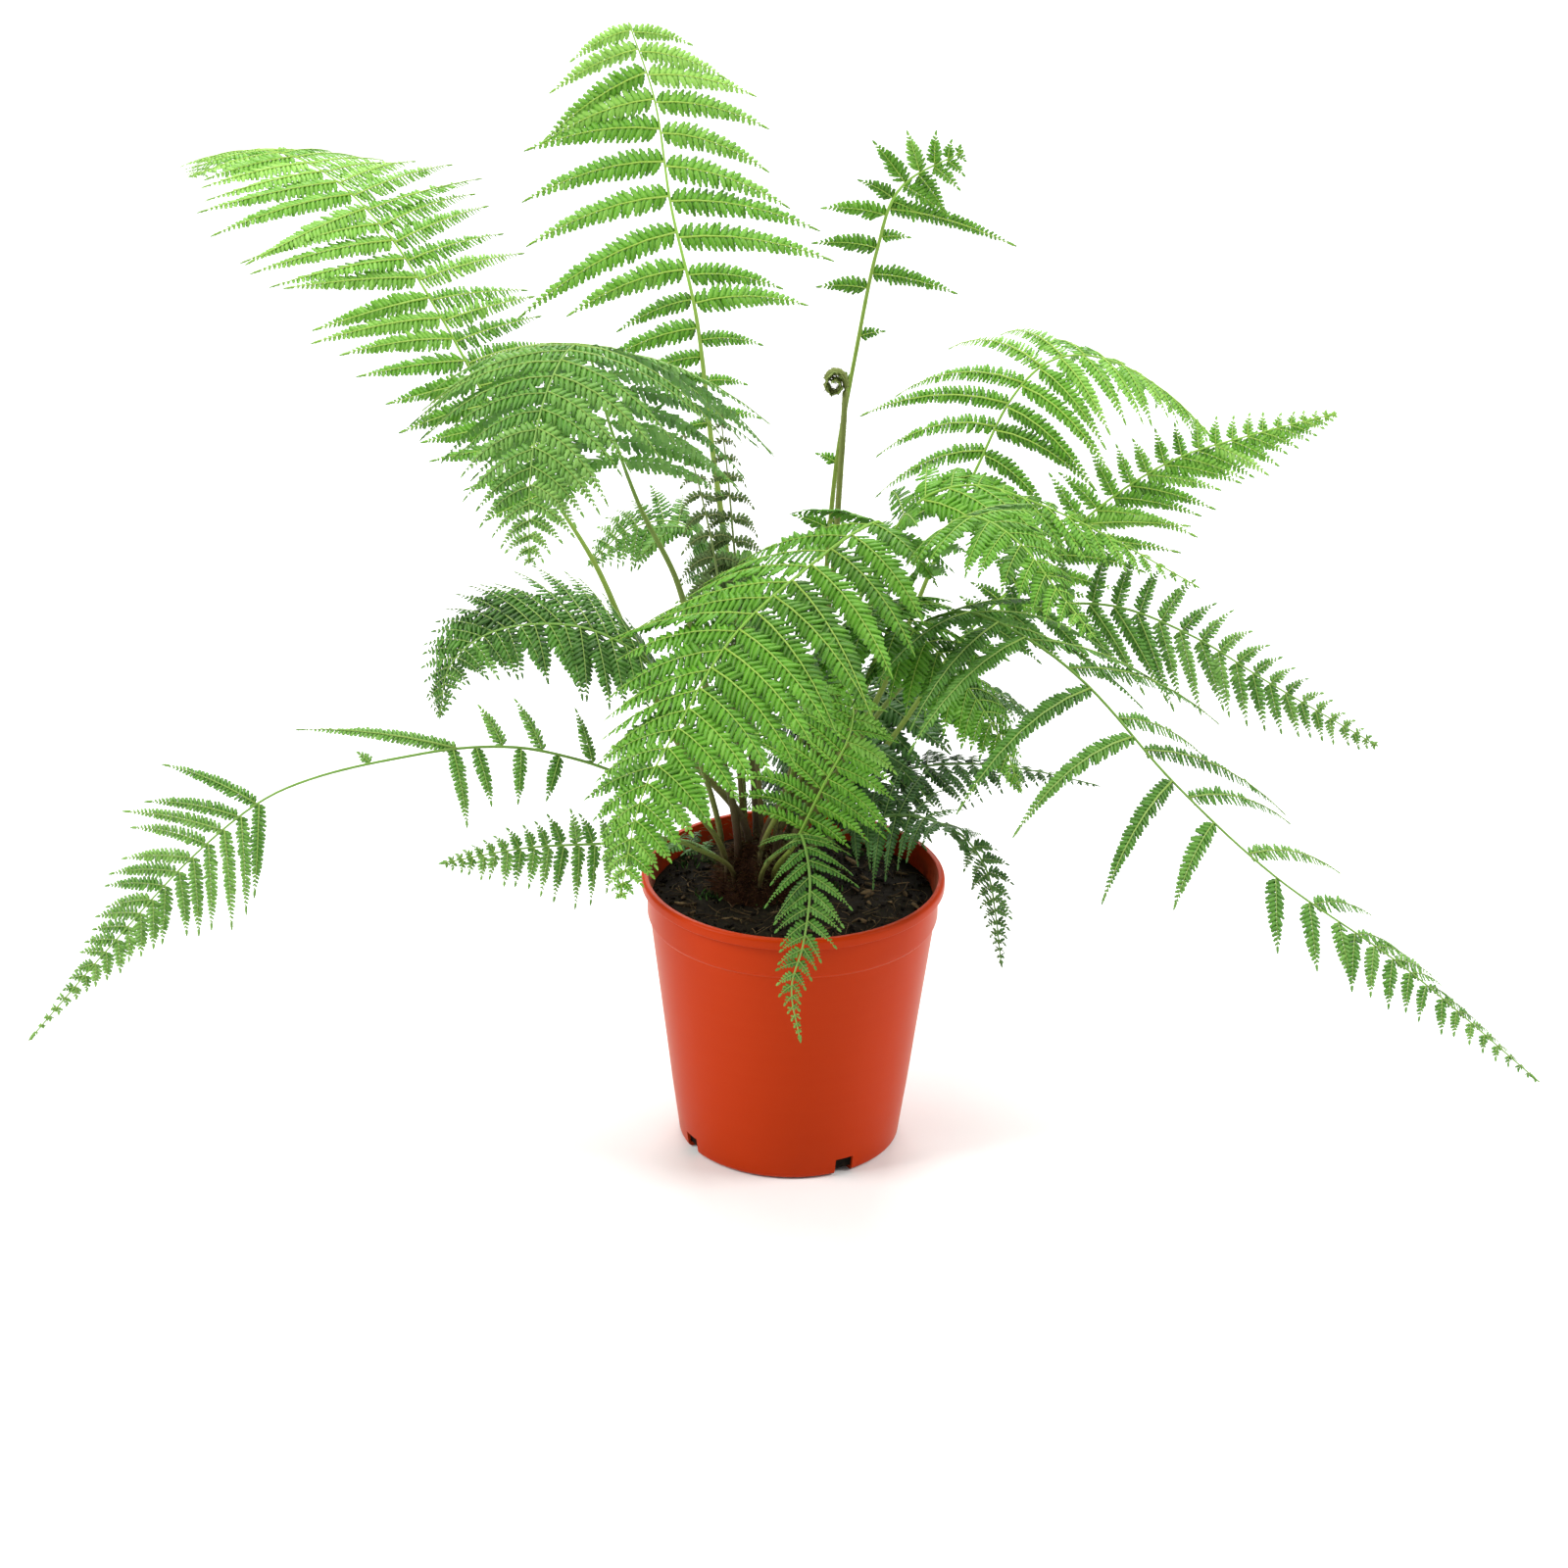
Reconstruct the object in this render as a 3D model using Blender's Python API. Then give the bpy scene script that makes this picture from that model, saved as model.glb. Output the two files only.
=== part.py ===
"""A young soft tree fern growing in its plastic nursery pot.

Metres, +Z up. The origin is the middle of the pot's base, on the surface that the pot stands on, and -Y is
the front. The pot is turned and filled with peat. The fern's crown stands in a plain hole in the peat, and
every stalk stands in a plain socket in the crown. Each frond is one solid: a stalk that thins into a
rachis, pairs of pinnae with toothed edges along it, and a toothed tip. Where a pinna would cross another
frond, it is bent aside, then shortened.
"""

import math
import random
from dataclasses import dataclass

import bmesh
import bpy
from mathutils import Matrix, Vector
from mathutils.bvhtree import BVHTree

MM = 0.001
GAP = 0.3 * MM
WELD = 0.001 * MM
UP = Vector((0, 0, 1))

POT_HEIGHT = 161 * MM
POT_STEPS = 40
RIM_RADIUS = 85 * MM
BASE_RADIUS = 62.5 * MM
COLLAR_HEIGHT = 25 * MM
COLLAR_RADIUS = 81.5 * MM
COLLAR_STEP = 0.8 * MM
LIP_HEIGHT = 6 * MM
LIP_ROUND = 2 * MM
WALL = 2 * MM
FLOOR = 2.5 * MM
FOOT_ROUND = 3 * MM

NOTCH_WIDTH = 11 * MM
NOTCH_HEIGHT = 10 * MM
NOTCH_REACH = 9 * MM
NOTCH_ANGLES = (-60, 30, 120, 210)

PEAT_LEVEL = 149 * MM
PEAT_STEPS = 30
PEAT_BUMP = 1.2 * MM

CROWN_PLACE = Vector((-20 * MM, 0, 0))
CROWN_RADIUS = 24 * MM
CROWN_RISE = 30 * MM
CROWN_DEPTH = 18 * MM
CROWN_STEPS = 16
CROWN_ROUGH = 0.8 * MM
SOCKET_DEPTH = 7 * MM
SOCKET_SIDES = 6
SOCKET_OPENING = 26 * MM

STALK_SAMPLE = 36 * MM
RACHIS_RADIUS = 1.0 * MM
TIP_RADIUS = 0.7 * MM
PINNA_SPACING = 31 * MM
STAGGER = 3 * MM
BLADE_SHARE = 0.08
BLADE_LEAST = 1.4 * MM
ROOT_LIFT = 0.2 * MM
TOOTH_PITCH = 24 * MM
MOST_TEETH = 4
RIB_HEIGHT = 1.3 * MM
NOTCH_SHARE = 0.4
BEND_CLEAR = 0.5 * MM

# Lift and sweep in degrees and share of the length, tried in this order until a pinna is clear
BENDS = (
    (0, 0, 1.0),
    (9, 0, 1.0),
    (-9, 0, 1.0),
    (18, 0, 1.0),
    (-18, 0, 1.0),
    (0, 14, 1.0),
    (0, -14, 1.0),
    (28, 0, 0.95),
    (-28, 0, 0.95),
    (14, 14, 0.85),
    (-14, 14, 0.85),
    (40, 0, 0.8),
    (-40, 0, 0.8),
    (0, 0, 0.6),
    (20, 0, 0.5),
    (-20, 0, 0.5),
    (0, 0, 0.35),
)


@dataclass(frozen=True)
class Shade:
    """The colour of a group of fronds."""

    name: str
    colour: tuple[float, float, float]


FRESH = Shade("fresh_green", (0.20, 0.46, 0.05))
MATURE = Shade("mature_green", (0.09, 0.30, 0.06))
SHADED = Shade("shaded_green", (0.03, 0.14, 0.05))
WITHERED = Shade("withered_green", (0.08, 0.12, 0.05))


@dataclass(frozen=True)
class Frond:
    """One frond.

    foot is the angle and the distance in millimetres of its socket from the middle of the crown. route
    holds the points in millimetres that its stalk then passes. blade is the share of the route where the
    pinnae start, and reach is the longest pinna in millimetres. across is where the pinnae of one side
    point, at the start of the blade and at its tip. sweep is the angle between the pinnae and the stalk
    there, in degrees, and skew is added to it on that side and taken from it on the other. sides scales the
    pinnae of the two sides. The pinnae are longest at the share peak of the blade, and taper says how they
    shorten from there to its tip. bare is a stretch of the route with no pinnae, and singles are further
    pinnae as (share of the route, side, millimetres, degrees).
    """

    name: str
    foot: tuple[float, float]
    route: tuple[tuple[float, float, float], ...]
    blade: float
    reach: float
    across: tuple[tuple[float, float, float], tuple[float, float, float]]
    shade: Shade = MATURE
    stalk: float = 1.8
    sweep: tuple[float, float] = (88, 62)
    skew: tuple[float, float] = (0, 0)
    sides: tuple[float, float] = (1, 1)
    droop: float = 0.5
    peak: float = 0.3
    taper: float = 0.8
    bare: tuple[float, float] = (0, 0)
    singles: tuple[tuple[float, int, float, float], ...] = ()


@dataclass(frozen=True)
class Pinna:
    """One pinna: its share of the route, its side of 1 or -1, its length and its angle to the stalk."""

    share: float
    side: int
    length: float
    angle: float


# Fronds, the foremost first, because the later ones bend clear of them
FRONDS = (
    Frond(
        "frond_front_arch",
        (300, 5),
        (
            (10, -10, 235),
            (27, -20, 290),
            (40, -25, 340),
            (46, -36, 380),
            (40, -48, 393),
            (5, -80, 380),
            (-35, -120, 355),
            (-65, -160, 315),
            (-80, -180, 290),
            (-90, -205, 245),
        ),
        blade=0.44,
        reach=88,
        across=((0.8, -0.5, 0), (0.9, -0.4, 0)),
        shade=FRESH,
        stalk=2.2,
        droop=0.7,
        sweep=(75, 62),
        skew=(12, 5),
        sides=(1.12, 1.05),
    ),
    Frond(
        "frond_over_rim",
        (275, 19),
        ((0, -40, 200), (5, -70, 215), (9, -95, 200), (6, -105, 170), (0, -110, 145), (5, -111, 115)),
        blade=0.25,
        reach=34,
        across=((1, 0, 0), (1, 0, 0)),
        stalk=1.4,
        taper=1.2,
    ),
    Frond(
        "frond_front_young",
        (300, 18),
        ((0, -25, 190), (15, -35, 230), (29, -42, 265), (30, -50, 290), (20, -60, 310)),
        blade=0.24,
        reach=54,
        across=((0.9, -0.3, -0.3), (0.8, -0.35, 0.3)),
        shade=FRESH,
        stalk=1.6,
        sweep=(80, 60),
        droop=0.8,
        sides=(0.85, 1.2),
    ),
    Frond(
        "frond_centre",
        (275, 12),
        (
            (-5, -15, 215),
            (8, -30, 280),
            (22, -48, 330),
            (45, -68, 348),
            (75, -88, 335),
            (105, -105, 300),
            (120, -115, 268),
        ),
        blade=0.28,
        reach=70,
        across=((-0.5, -0.85, 0), (-0.5, -0.8, -0.2)),
        shade=FRESH,
        stalk=1.6,
        sweep=(84, 60),
        droop=0.8,
    ),
    Frond(
        "frond_left_arch",
        (205, 12),
        (
            (-45, -10, 255),
            (-65, -25, 345),
            (-85, -40, 395),
            (-100, -65, 450),
            (-111, -105, 508),
            (-120, -145, 522),
            (-130, -180, 508),
            (-135, -205, 482),
            (-135, -225, 440),
        ),
        blade=0.5,
        reach=116,
        across=((1, -0.1, 0), (1, -0.2, 0)),
        stalk=2.2,
        droop=1.15,
        sweep=(90, 70),
    ),
    Frond(
        "frond_right_far",
        (325, 19),
        (
            (20, -20, 240),
            (50, -40, 315),
            (85, -60, 347),
            (120, -75, 340),
            (155, -90, 318),
            (200, -115, 275),
            (255, -135, 230),
            (325, -150, 185),
            (400, -165, 125),
        ),
        blade=0.3,
        reach=112,
        across=((-0.5, -0.85, 0), (-0.5, -0.7, -0.3)),
        stalk=2.0,
        droop=0.8,
        peak=0.15,
        taper=1.1,
        sweep=(73, 46),
        skew=(35, 12),
        bare=(0.42, 0.79),
        singles=(
            (0.485, 1, 118, 104),
            (0.54, 1, 100, 104),
            (0.59, 1, 88, 90),
            (0.64, 1, 58, 88),
            (0.71, 1, 42, 62),
            (0.745, 1, 38, 58),
            (0.775, 1, 34, 52),
            (0.46, -1, 122, 58),
            (0.52, -1, 70, 62),
            (0.555, -1, 116, 60),
            (0.61, -1, 86, 64),
            (0.68, -1, 76, 60),
            (0.75, -1, 46, 52),
        ),
    ),
    Frond(
        "frond_right_inner",
        (322, 12),
        (
            (27, -16, 255),
            (42, -22, 300),
            (60, -35, 350),
            (75, -50, 388),
            (92, -70, 406),
            (115, -90, 400),
            (135, -105, 380),
            (155, -120, 360),
        ),
        blade=0.55,
        reach=56,
        across=((-0.6, -0.8, 0), (-0.6, -0.8, 0)),
        shade=FRESH,
        droop=0.7,
    ),
    Frond(
        "frond_right_arch",
        (355, 11),
        (
            (15, 0, 250),
            (30, 10, 310),
            (45, 15, 350),
            (67, 18, 380),
            (95, 20, 388),
            (125, 24, 378),
            (160, 25, 362),
            (220, 20, 330),
        ),
        blade=0.48,
        reach=92,
        across=((0.3, -0.95, 0), (0.1, -0.9, -0.2)),
        shade=FRESH,
        droop=0.7,
        peak=0.12,
        taper=1.2,
        sweep=(68, 56),
        skew=(-14, -4),
        sides=(1, 0.7),
    ),
    Frond(
        "frond_left_tall",
        (170, 5),
        (
            (-65, 10, 235),
            (-90, 20, 285),
            (-115, 38, 335),
            (-170, 75, 405),
            (-200, 100, 450),
            (-235, 130, 493),
            (-275, 160, 517),
            (-315, 190, 515),
            (-350, 210, 492),
        ),
        blade=0.4,
        reach=104,
        across=((0.8, 0.7, -0.3), (0.8, 0.6, -0.1)),
        shade=FRESH,
        stalk=2.2,
        droop=0.3,
        sweep=(83, 83),
        skew=(7, -1),
        peak=0.6,
        taper=0.85,
    ),
    Frond(
        "frond_back_tall",
        (95, 12),
        (
            (-25, 32, 225),
            (-38, 75, 305),
            (-50, 110, 375),
            (-60, 140, 440),
            (-75, 165, 495),
            (-85, 185, 550),
            (-100, 195, 592),
        ),
        blade=0.68,
        reach=96,
        across=((1, 0.1, 0), (1, 0.1, 0)),
        shade=FRESH,
        stalk=2.0,
        droop=0.7,
        peak=0.1,
        sweep=(92, 92),
        skew=(9, 9),
        taper=0.28,
        sides=(0.95, 1.08),
        singles=(
            (0.655, 1, 66, 86),
            (0.66, -1, 46, 88),
            (0.625, -1, 58, 88),
            (0.61, 1, 36, 86),
            (0.59, -1, 40, 86),
            (0.565, -1, 24, 84),
            (0.56, 1, 24, 84),
            (0.52, 1, 30, 84),
        ),
    ),
    Frond(
        "frond_left_far",
        (208, 19),
        (
            (-55, -25, 210),
            (-90, -40, 236),
            (-120, -50, 252),
            (-155, -60, 263),
            (-200, -70, 263),
            (-275, -80, 245),
            (-320, -90, 213),
            (-370, -100, 158),
            (-415, -110, 105),
        ),
        blade=0.22,
        reach=59,
        across=((0.3, -0.5, -0.8), (0.65, -0.35, -0.65)),
        shade=MATURE,
        stalk=1.7,
        droop=0.3,
        peak=0.56,
        bare=(0, 0.61),
        sweep=(78, 40),
        skew=(0, -2),
        taper=1.1,
        singles=(
            (0.25, -1, 32, 66),
            (0.31, -1, 32, 60),
            (0.355, -1, 26, 66),
            (0.405, -1, 88, 20),
            (0.29, 1, 26, 80),
            (0.335, 1, 30, 90),
            (0.385, 1, 32, 104),
            (0.41, 1, 42, 96),
        ),
    ),
    Frond(
        "frond_left_low",
        (228, 19),
        ((-55, -30, 190), (-75, -45, 203), (-100, -55, 204), (-145, -65, 205), (-190, -75, 200)),
        blade=0.4,
        reach=34,
        across=((0.1, -0.45, -0.85), (0.1, -0.45, -0.85)),
        shade=MATURE,
        stalk=1.4,
        sides=(1, 0.6),
    ),
    Frond(
        "frond_left_middle",
        (185, 19),
        (
            (-55, -10, 240),
            (-80, -20, 295),
            (-110, -21, 315),
            (-140, -19, 318),
            (-170, -12, 308),
            (-190, -10, 288),
            (-196, -10, 258),
        ),
        blade=0.4,
        reach=66,
        across=((0.3, -0.75, -0.5), (0.7, -0.5, -0.4)),
        shade=MATURE,
        stalk=1.7,
        skew=(30, 34),
        sweep=(88, 74),
        sides=(0.75, 1.05),
    ),
    Frond(
        "frond_left_soil",
        (160, 20),
        ((-49, 13, 168), (-60, 20, 170), (-73, 28, 167)),
        blade=0.35,
        reach=22,
        across=((0.4, 0.9, 0), (0.4, 0.9, 0)),
        shade=SHADED,
        stalk=1.2,
        droop=0.2,
    ),
    Frond(
        "frond_right_middle",
        (5, 19),
        (
            (30, 10, 230),
            (75, 10, 290),
            (125, 10, 318),
            (170, 9, 323),
            (215, 5, 308),
            (260, 0, 282),
            (320, -10, 250),
        ),
        blade=0.4,
        reach=62,
        across=((-0.3, -0.6, -0.7), (-0.4, -0.4, -0.8)),
        sweep=(76, 55),
        skew=(-18, -15),
        sides=(1, 0.6),
    ),
    Frond(
        "frond_right_rising",
        (25, 19),
        (
            (50, 30, 225),
            (95, 55, 285),
            (135, 75, 320),
            (170, 90, 350),
            (210, 102, 373),
            (255, 112, 385),
            (300, 120, 395),
        ),
        blade=0.42,
        reach=66,
        across=((0.4, -0.5, -0.8), (0.4, -0.4, -0.8)),
        shade=FRESH,
        sweep=(66, 45),
        skew=(-20, -22),
        sides=(1, 0.5),
    ),
    Frond(
        "frond_right_top",
        (45, 19),
        (
            (43, 40, 245),
            (75, 65, 322),
            (100, 88, 375),
            (118, 100, 410),
            (140, 110, 428),
            (170, 120, 425),
            (205, 130, 402),
            (235, 140, 370),
        ),
        blade=0.5,
        reach=76,
        across=((0.9, -0.4, -0.2), (0.3, -0.9, -0.1)),
        shade=FRESH,
        stalk=1.9,
        droop=1.0,
        sweep=(100, 75),
        skew=(-18, 0),
        sides=(1, 1.3),
    ),
    Frond(
        "frond_slender",
        (65, 12),
        (
            (10, 45, 230),
            (15, 60, 310),
            (20, 70, 380),
            (30, 80, 445),
            (40, 85, 500),
            (52, 86, 535),
            (85, 86, 556),
        ),
        blade=0.88,
        reach=36,
        across=((1, 0.2, -0.1), (1, 0.1, -0.6)),
        shade=FRESH,
        stalk=1.5,
        singles=(
            (0.785, 1, 50, 84),
            (0.765, -1, 28, 85),
            (0.82, -1, 36, 85),
            (0.865, -1, 36, 85),
            (0.875, 1, 76, 80),
            (0.44, -1, 22, 60),
        ),
        sweep=(85, 55),
    ),
    Frond(
        "frond_right_low",
        (345, 19),
        ((30, -15, 195), (60, -30, 212), (90, -50, 211), (105, -60, 195), (111, -65, 170), (115, -66, 140)),
        blade=0.25,
        reach=42,
        across=((0.5, -0.85, 0), (0.8, -0.5, 0)),
        shade=SHADED,
        stalk=1.5,
        peak=0.15,
        taper=1.0,
    ),
    Frond(
        "frond_back_right",
        (68, 19),
        ((25, 30, 188), (58, 45, 203), (95, 58, 203), (135, 68, 195), (172, 76, 183)),
        blade=0.15,
        reach=58,
        across=((0.6, -0.8, 0), (0.5, -0.8, -0.2)),
        shade=SHADED,
        stalk=1.7,
        droop=0.6,
        taper=1.3,
        peak=0.2,
    ),
    Frond(
        "frond_back_inner",
        (112, 19),
        ((-30, 28, 225), (-34, 48, 280), (-45, 66, 322), (-66, 80, 338), (-95, 90, 330), (-118, 98, 305)),
        blade=0.3,
        reach=62,
        across=((0.5, -0.8, -0.2), (0.6, -0.7, -0.3)),
        shade=MATURE,
        stalk=1.6,
        sweep=(84, 62),
        droop=0.6,
    ),
    Frond(
        "frond_back_low",
        (88, 19),
        ((0, 40, 200), (30, 62, 235), (70, 80, 245), (110, 90, 235), (140, 95, 215)),
        blade=0.12,
        reach=80,
        across=((0.4, -0.9, 0), (0.4, -0.85, -0.2)),
        shade=SHADED,
        stalk=1.5,
        sweep=(86, 66),
        droop=0.6,
    ),
    Frond(
        "frond_withered_left",
        (135, 12),
        ((-35, 16, 255), (-45, 30, 330), (-55, 40, 375), (-65, 50, 405)),
        blade=0.45,
        reach=30,
        across=((1, 0.3, 0), (1, 0.3, 0)),
        shade=WITHERED,
        stalk=1.5,
        droop=2.2,
    ),
    Frond(
        "frond_withered_right",
        (60, 4),
        ((-25, 20, 255), (-35, 40, 333), (-40, 50, 380), (-45, 60, 415)),
        blade=0.45,
        reach=30,
        across=((1, 0.3, 0), (1, 0.3, 0)),
        shade=WITHERED,
        stalk=1.5,
        droop=2.2,
    ),
)

CROZIER_FOOT = (30, 11)
CROZIER_ROUTE = ((5, 30, 240), (18, 40, 315), (22, 46, 385), (24, 50, 434))
CROZIER_STALK = 1.7
CROZIER_COIL = 7.5 * MM
CROZIER_EYE = 2.6 * MM
CROZIER_TURNS = 1.4
CROZIER_END = 1.1 * MM


def remove_start_objects():
    """Empty the scene of what it starts with."""
    for item in list(bpy.data.objects):
        bpy.data.objects.remove(item)


def material(name, colour, roughness):
    """A plain material that is not metal."""
    made = bpy.data.materials.new(name)
    made.use_nodes = True
    surface = made.node_tree.nodes["Principled BSDF"]
    surface.inputs["Base Color"].default_value = (*colour, 1)
    surface.inputs["Roughness"].default_value = roughness
    surface.inputs["Metallic"].default_value = 0
    made.diffuse_color = (*colour, 1)
    return made


def add_object(name, mesh, finish=None):
    """Put a mesh into the scene as a named object."""
    if finish:
        mesh.materials.append(finish)
    item = bpy.data.objects.new(name, mesh)
    bpy.context.scene.collection.objects.link(item)
    return item


def mesh_of(shape, name):
    """Close a bmesh with its faces out and hand it over as a mesh."""
    bmesh.ops.recalc_face_normals(shape, faces=shape.faces)
    mesh = bpy.data.meshes.new(name)
    shape.to_mesh(mesh)
    shape.free()
    return mesh


def roughen(mesh, above, amount, seed):
    """Move what lies above a height by a seeded random amount, in triangles so that cuts stay exact."""
    uneven = random.Random(seed)
    shape = bmesh.new()
    shape.from_mesh(mesh)
    bmesh.ops.triangulate(shape, faces=shape.faces)
    for vertex in shape.verts:
        if vertex.co.z > above:
            vertex.co += Vector([uneven.uniform(-amount, amount) for _ in range(3)])
    shape.to_mesh(mesh)
    shape.free()


def turned(name, outline, steps):
    """A closed solid turned about Z, whose outline of (radius, height) starts and ends off the axis."""
    shape = bmesh.new()
    corners = [shape.verts.new((radius, 0, height)) for radius, height in outline]
    edges = [shape.edges.new(pair) for pair in zip(corners, corners[1:])]
    bmesh.ops.spin(shape, geom=corners + edges, axis=UP, cent=(0, 0, 0), angle=2 * math.pi, steps=steps)
    bmesh.ops.remove_doubles(shape, verts=shape.verts, dist=WELD)
    rims = [edge for edge in shape.edges if edge.is_boundary]
    bmesh.ops.edgeloop_fill(shape, edges=rims)
    return mesh_of(shape, name)


def is_closed(mesh):
    """Whether every edge of the mesh has just two faces and no two parts of it meet in a single corner."""
    shape = bmesh.new()
    shape.from_mesh(mesh)
    closed = len(shape.faces) > 0 and all(piece.is_manifold for piece in (*shape.edges, *shape.verts))
    shape.free()
    return closed


def drop_scraps(mesh):
    """Keep only the largest body of a mesh, so that no sealed hollow or loose scrap is left."""
    shape = bmesh.new()
    shape.from_mesh(mesh)
    left, largest = set(shape.verts), []
    while left:
        body = [left.pop()]
        for vertex in body:
            near = {edge.other_vert(vertex) for edge in vertex.link_edges} & left
            left -= near
            body.extend(near)
        largest = max(largest, body, key=len)
    kept = set(largest)
    bmesh.ops.delete(shape, geom=[vertex for vertex in shape.verts if vertex not in kept], context="VERTS")
    shape.to_mesh(mesh)
    shape.free()


def boolean(target, others, operation):
    """Join the objects to the target, or cut them out of it, and remove them."""
    group = bpy.data.collections.new("operands")
    bpy.context.scene.collection.children.link(group)
    for item in others:
        group.objects.link(item)
    modifier = target.modifiers.new("boolean", "BOOLEAN")
    modifier.operation = operation
    modifier.operand_type = "COLLECTION"
    modifier.collection = group
    for solver in ("EXACT", "MANIFOLD"):
        modifier.solver = solver
        bpy.context.view_layer.update()
        evaluated = target.evaluated_get(bpy.context.evaluated_depsgraph_get())
        result = bpy.data.meshes.new_from_object(evaluated)
        if is_closed(result):
            break
    target.modifiers.remove(modifier)
    drop_scraps(result)
    target.data = result
    for item in list(others):
        bpy.data.objects.remove(item)
    bpy.data.collections.remove(group)


def pot_radius(height):
    """The radius of the pot's outside below the collar, without its rounded foot."""
    share = height / (POT_HEIGHT - COLLAR_HEIGHT)
    return BASE_RADIUS + (COLLAR_RADIUS - COLLAR_STEP * 2 - BASE_RADIUS) * share


def peat_radius(height):
    """The radius of the pot's inside."""
    return pot_radius(height) - WALL


def build_pot(finish):
    """The pot: a tapered wall with a collar, a rolled lip and drain notches where it meets the floor."""
    collar = POT_HEIGHT - COLLAR_HEIGHT
    lip = POT_HEIGHT - LIP_HEIGHT
    inside = peat_radius(POT_HEIGHT)
    outline = (
        (BASE_RADIUS - FOOT_ROUND, 0),
        (BASE_RADIUS - FOOT_ROUND * 0.3, FOOT_ROUND * 0.3),
        (pot_radius(FOOT_ROUND), FOOT_ROUND),
        (pot_radius(collar), collar),
        (COLLAR_RADIUS - COLLAR_STEP, collar + COLLAR_STEP),
        (COLLAR_RADIUS, lip),
        (RIM_RADIUS, lip),
        (RIM_RADIUS, POT_HEIGHT - LIP_ROUND),
        (RIM_RADIUS - LIP_ROUND, POT_HEIGHT),
        (inside, POT_HEIGHT),
        (peat_radius(FLOOR), FLOOR),
    )
    pot = add_object("pot", turned("pot", outline, POT_STEPS), finish)
    cutters = []
    for angle in NOTCH_ANGLES:
        bpy.ops.mesh.primitive_cube_add(size=1)
        cutter = bpy.context.object
        depth = NOTCH_REACH * 2
        shift = Matrix.Translation((BASE_RADIUS, 0, 0))
        turn = Matrix.Rotation(math.radians(angle), 4, "Z")
        size = Matrix.Diagonal((depth, NOTCH_WIDTH, NOTCH_HEIGHT * 2, 1))
        cutter.data.transform(turn @ shift @ size)
        cutters.append(cutter)
    boolean(pot, cutters, "DIFFERENCE")
    return pot


def build_peat(finish):
    """The peat that fills the pot, with an uneven top and a plain hole for the crown."""
    side = 2 * GAP
    outline = (
        (0.3 * BASE_RADIUS, FLOOR + GAP),
        (peat_radius(FLOOR) - side, FLOOR + GAP),
        (peat_radius(PEAT_LEVEL) - side, PEAT_LEVEL - 2 * PEAT_BUMP),
        (0.8 * BASE_RADIUS, PEAT_LEVEL),
        (0.4 * BASE_RADIUS, PEAT_LEVEL),
        (0.1 * BASE_RADIUS, PEAT_LEVEL),
    )
    peat = add_object("peat", turned("peat", outline, PEAT_STEPS), finish)
    roughen(peat.data, PEAT_LEVEL - PEAT_BUMP, PEAT_BUMP, seed=7)
    hole = turned(
        "hole",
        (
            (CROWN_RADIUS * 0.5, PEAT_LEVEL - CROWN_DEPTH - GAP),
            (CROWN_RADIUS + 4 * GAP, PEAT_LEVEL - CROWN_DEPTH - GAP),
            (CROWN_RADIUS + 4 * GAP, PEAT_LEVEL + CROWN_RISE),
            (CROWN_RADIUS * 0.5, PEAT_LEVEL + CROWN_RISE),
        ),
        CROWN_STEPS,
    )
    cutter = add_object("hole", hole)
    cutter.data.transform(Matrix.Translation(CROWN_PLACE))
    boolean(peat, [cutter], "DIFFERENCE")
    return peat


def crown_height(distance):
    """The height of the crown's domed top at a distance from its middle."""
    return PEAT_LEVEL + CROWN_RISE * (1 - (distance / (CROWN_RADIUS + MM)) ** 2.2)


def foot_place(foot):
    """Where a stalk leaves the crown, from its angle and its distance from the crown's middle."""
    angle, distance = math.radians(foot[0]), foot[1] * MM
    out = Vector((math.cos(angle), math.sin(angle), 0)) * distance
    return CROWN_PLACE + out + UP * crown_height(distance)


def build_crown(finish, sockets):
    """The short hairy rootstock, domed above the peat, with a socket for every stalk."""
    outline = [(CROWN_RADIUS * 0.5, PEAT_LEVEL - CROWN_DEPTH), (CROWN_RADIUS, PEAT_LEVEL - CROWN_DEPTH)]
    for share in (1.0, 0.85, 0.6, 0.3):
        radius = CROWN_RADIUS * share
        outline.append((radius, crown_height(radius)))
    crown = add_object("crown", turned("crown", outline, CROWN_STEPS), finish)
    roughen(crown.data, PEAT_LEVEL + CROWN_ROUGH * 6, CROWN_ROUGH, seed=3)
    crown.data.transform(Matrix.Translation(CROWN_PLACE))
    boolean(crown, sockets, "DIFFERENCE")
    return crown


def socket_cutter(foot, radius):
    """A plain upright hole, a gap wider all round than the stalk that stands in it."""
    place = foot_place(foot)
    height = SOCKET_DEPTH + GAP + SOCKET_OPENING
    bpy.ops.mesh.primitive_cylinder_add(
        vertices=SOCKET_SIDES,
        radius=(radius + 1.2 * GAP) / math.cos(math.pi / SOCKET_SIDES),
        depth=height,
        location=place + UP * (height / 2 - SOCKET_DEPTH - GAP),
    )
    cutter = bpy.context.object
    cutter.data.transform(cutter.matrix_world)
    cutter.matrix_world = Matrix.Identity(4)
    return cutter


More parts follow.
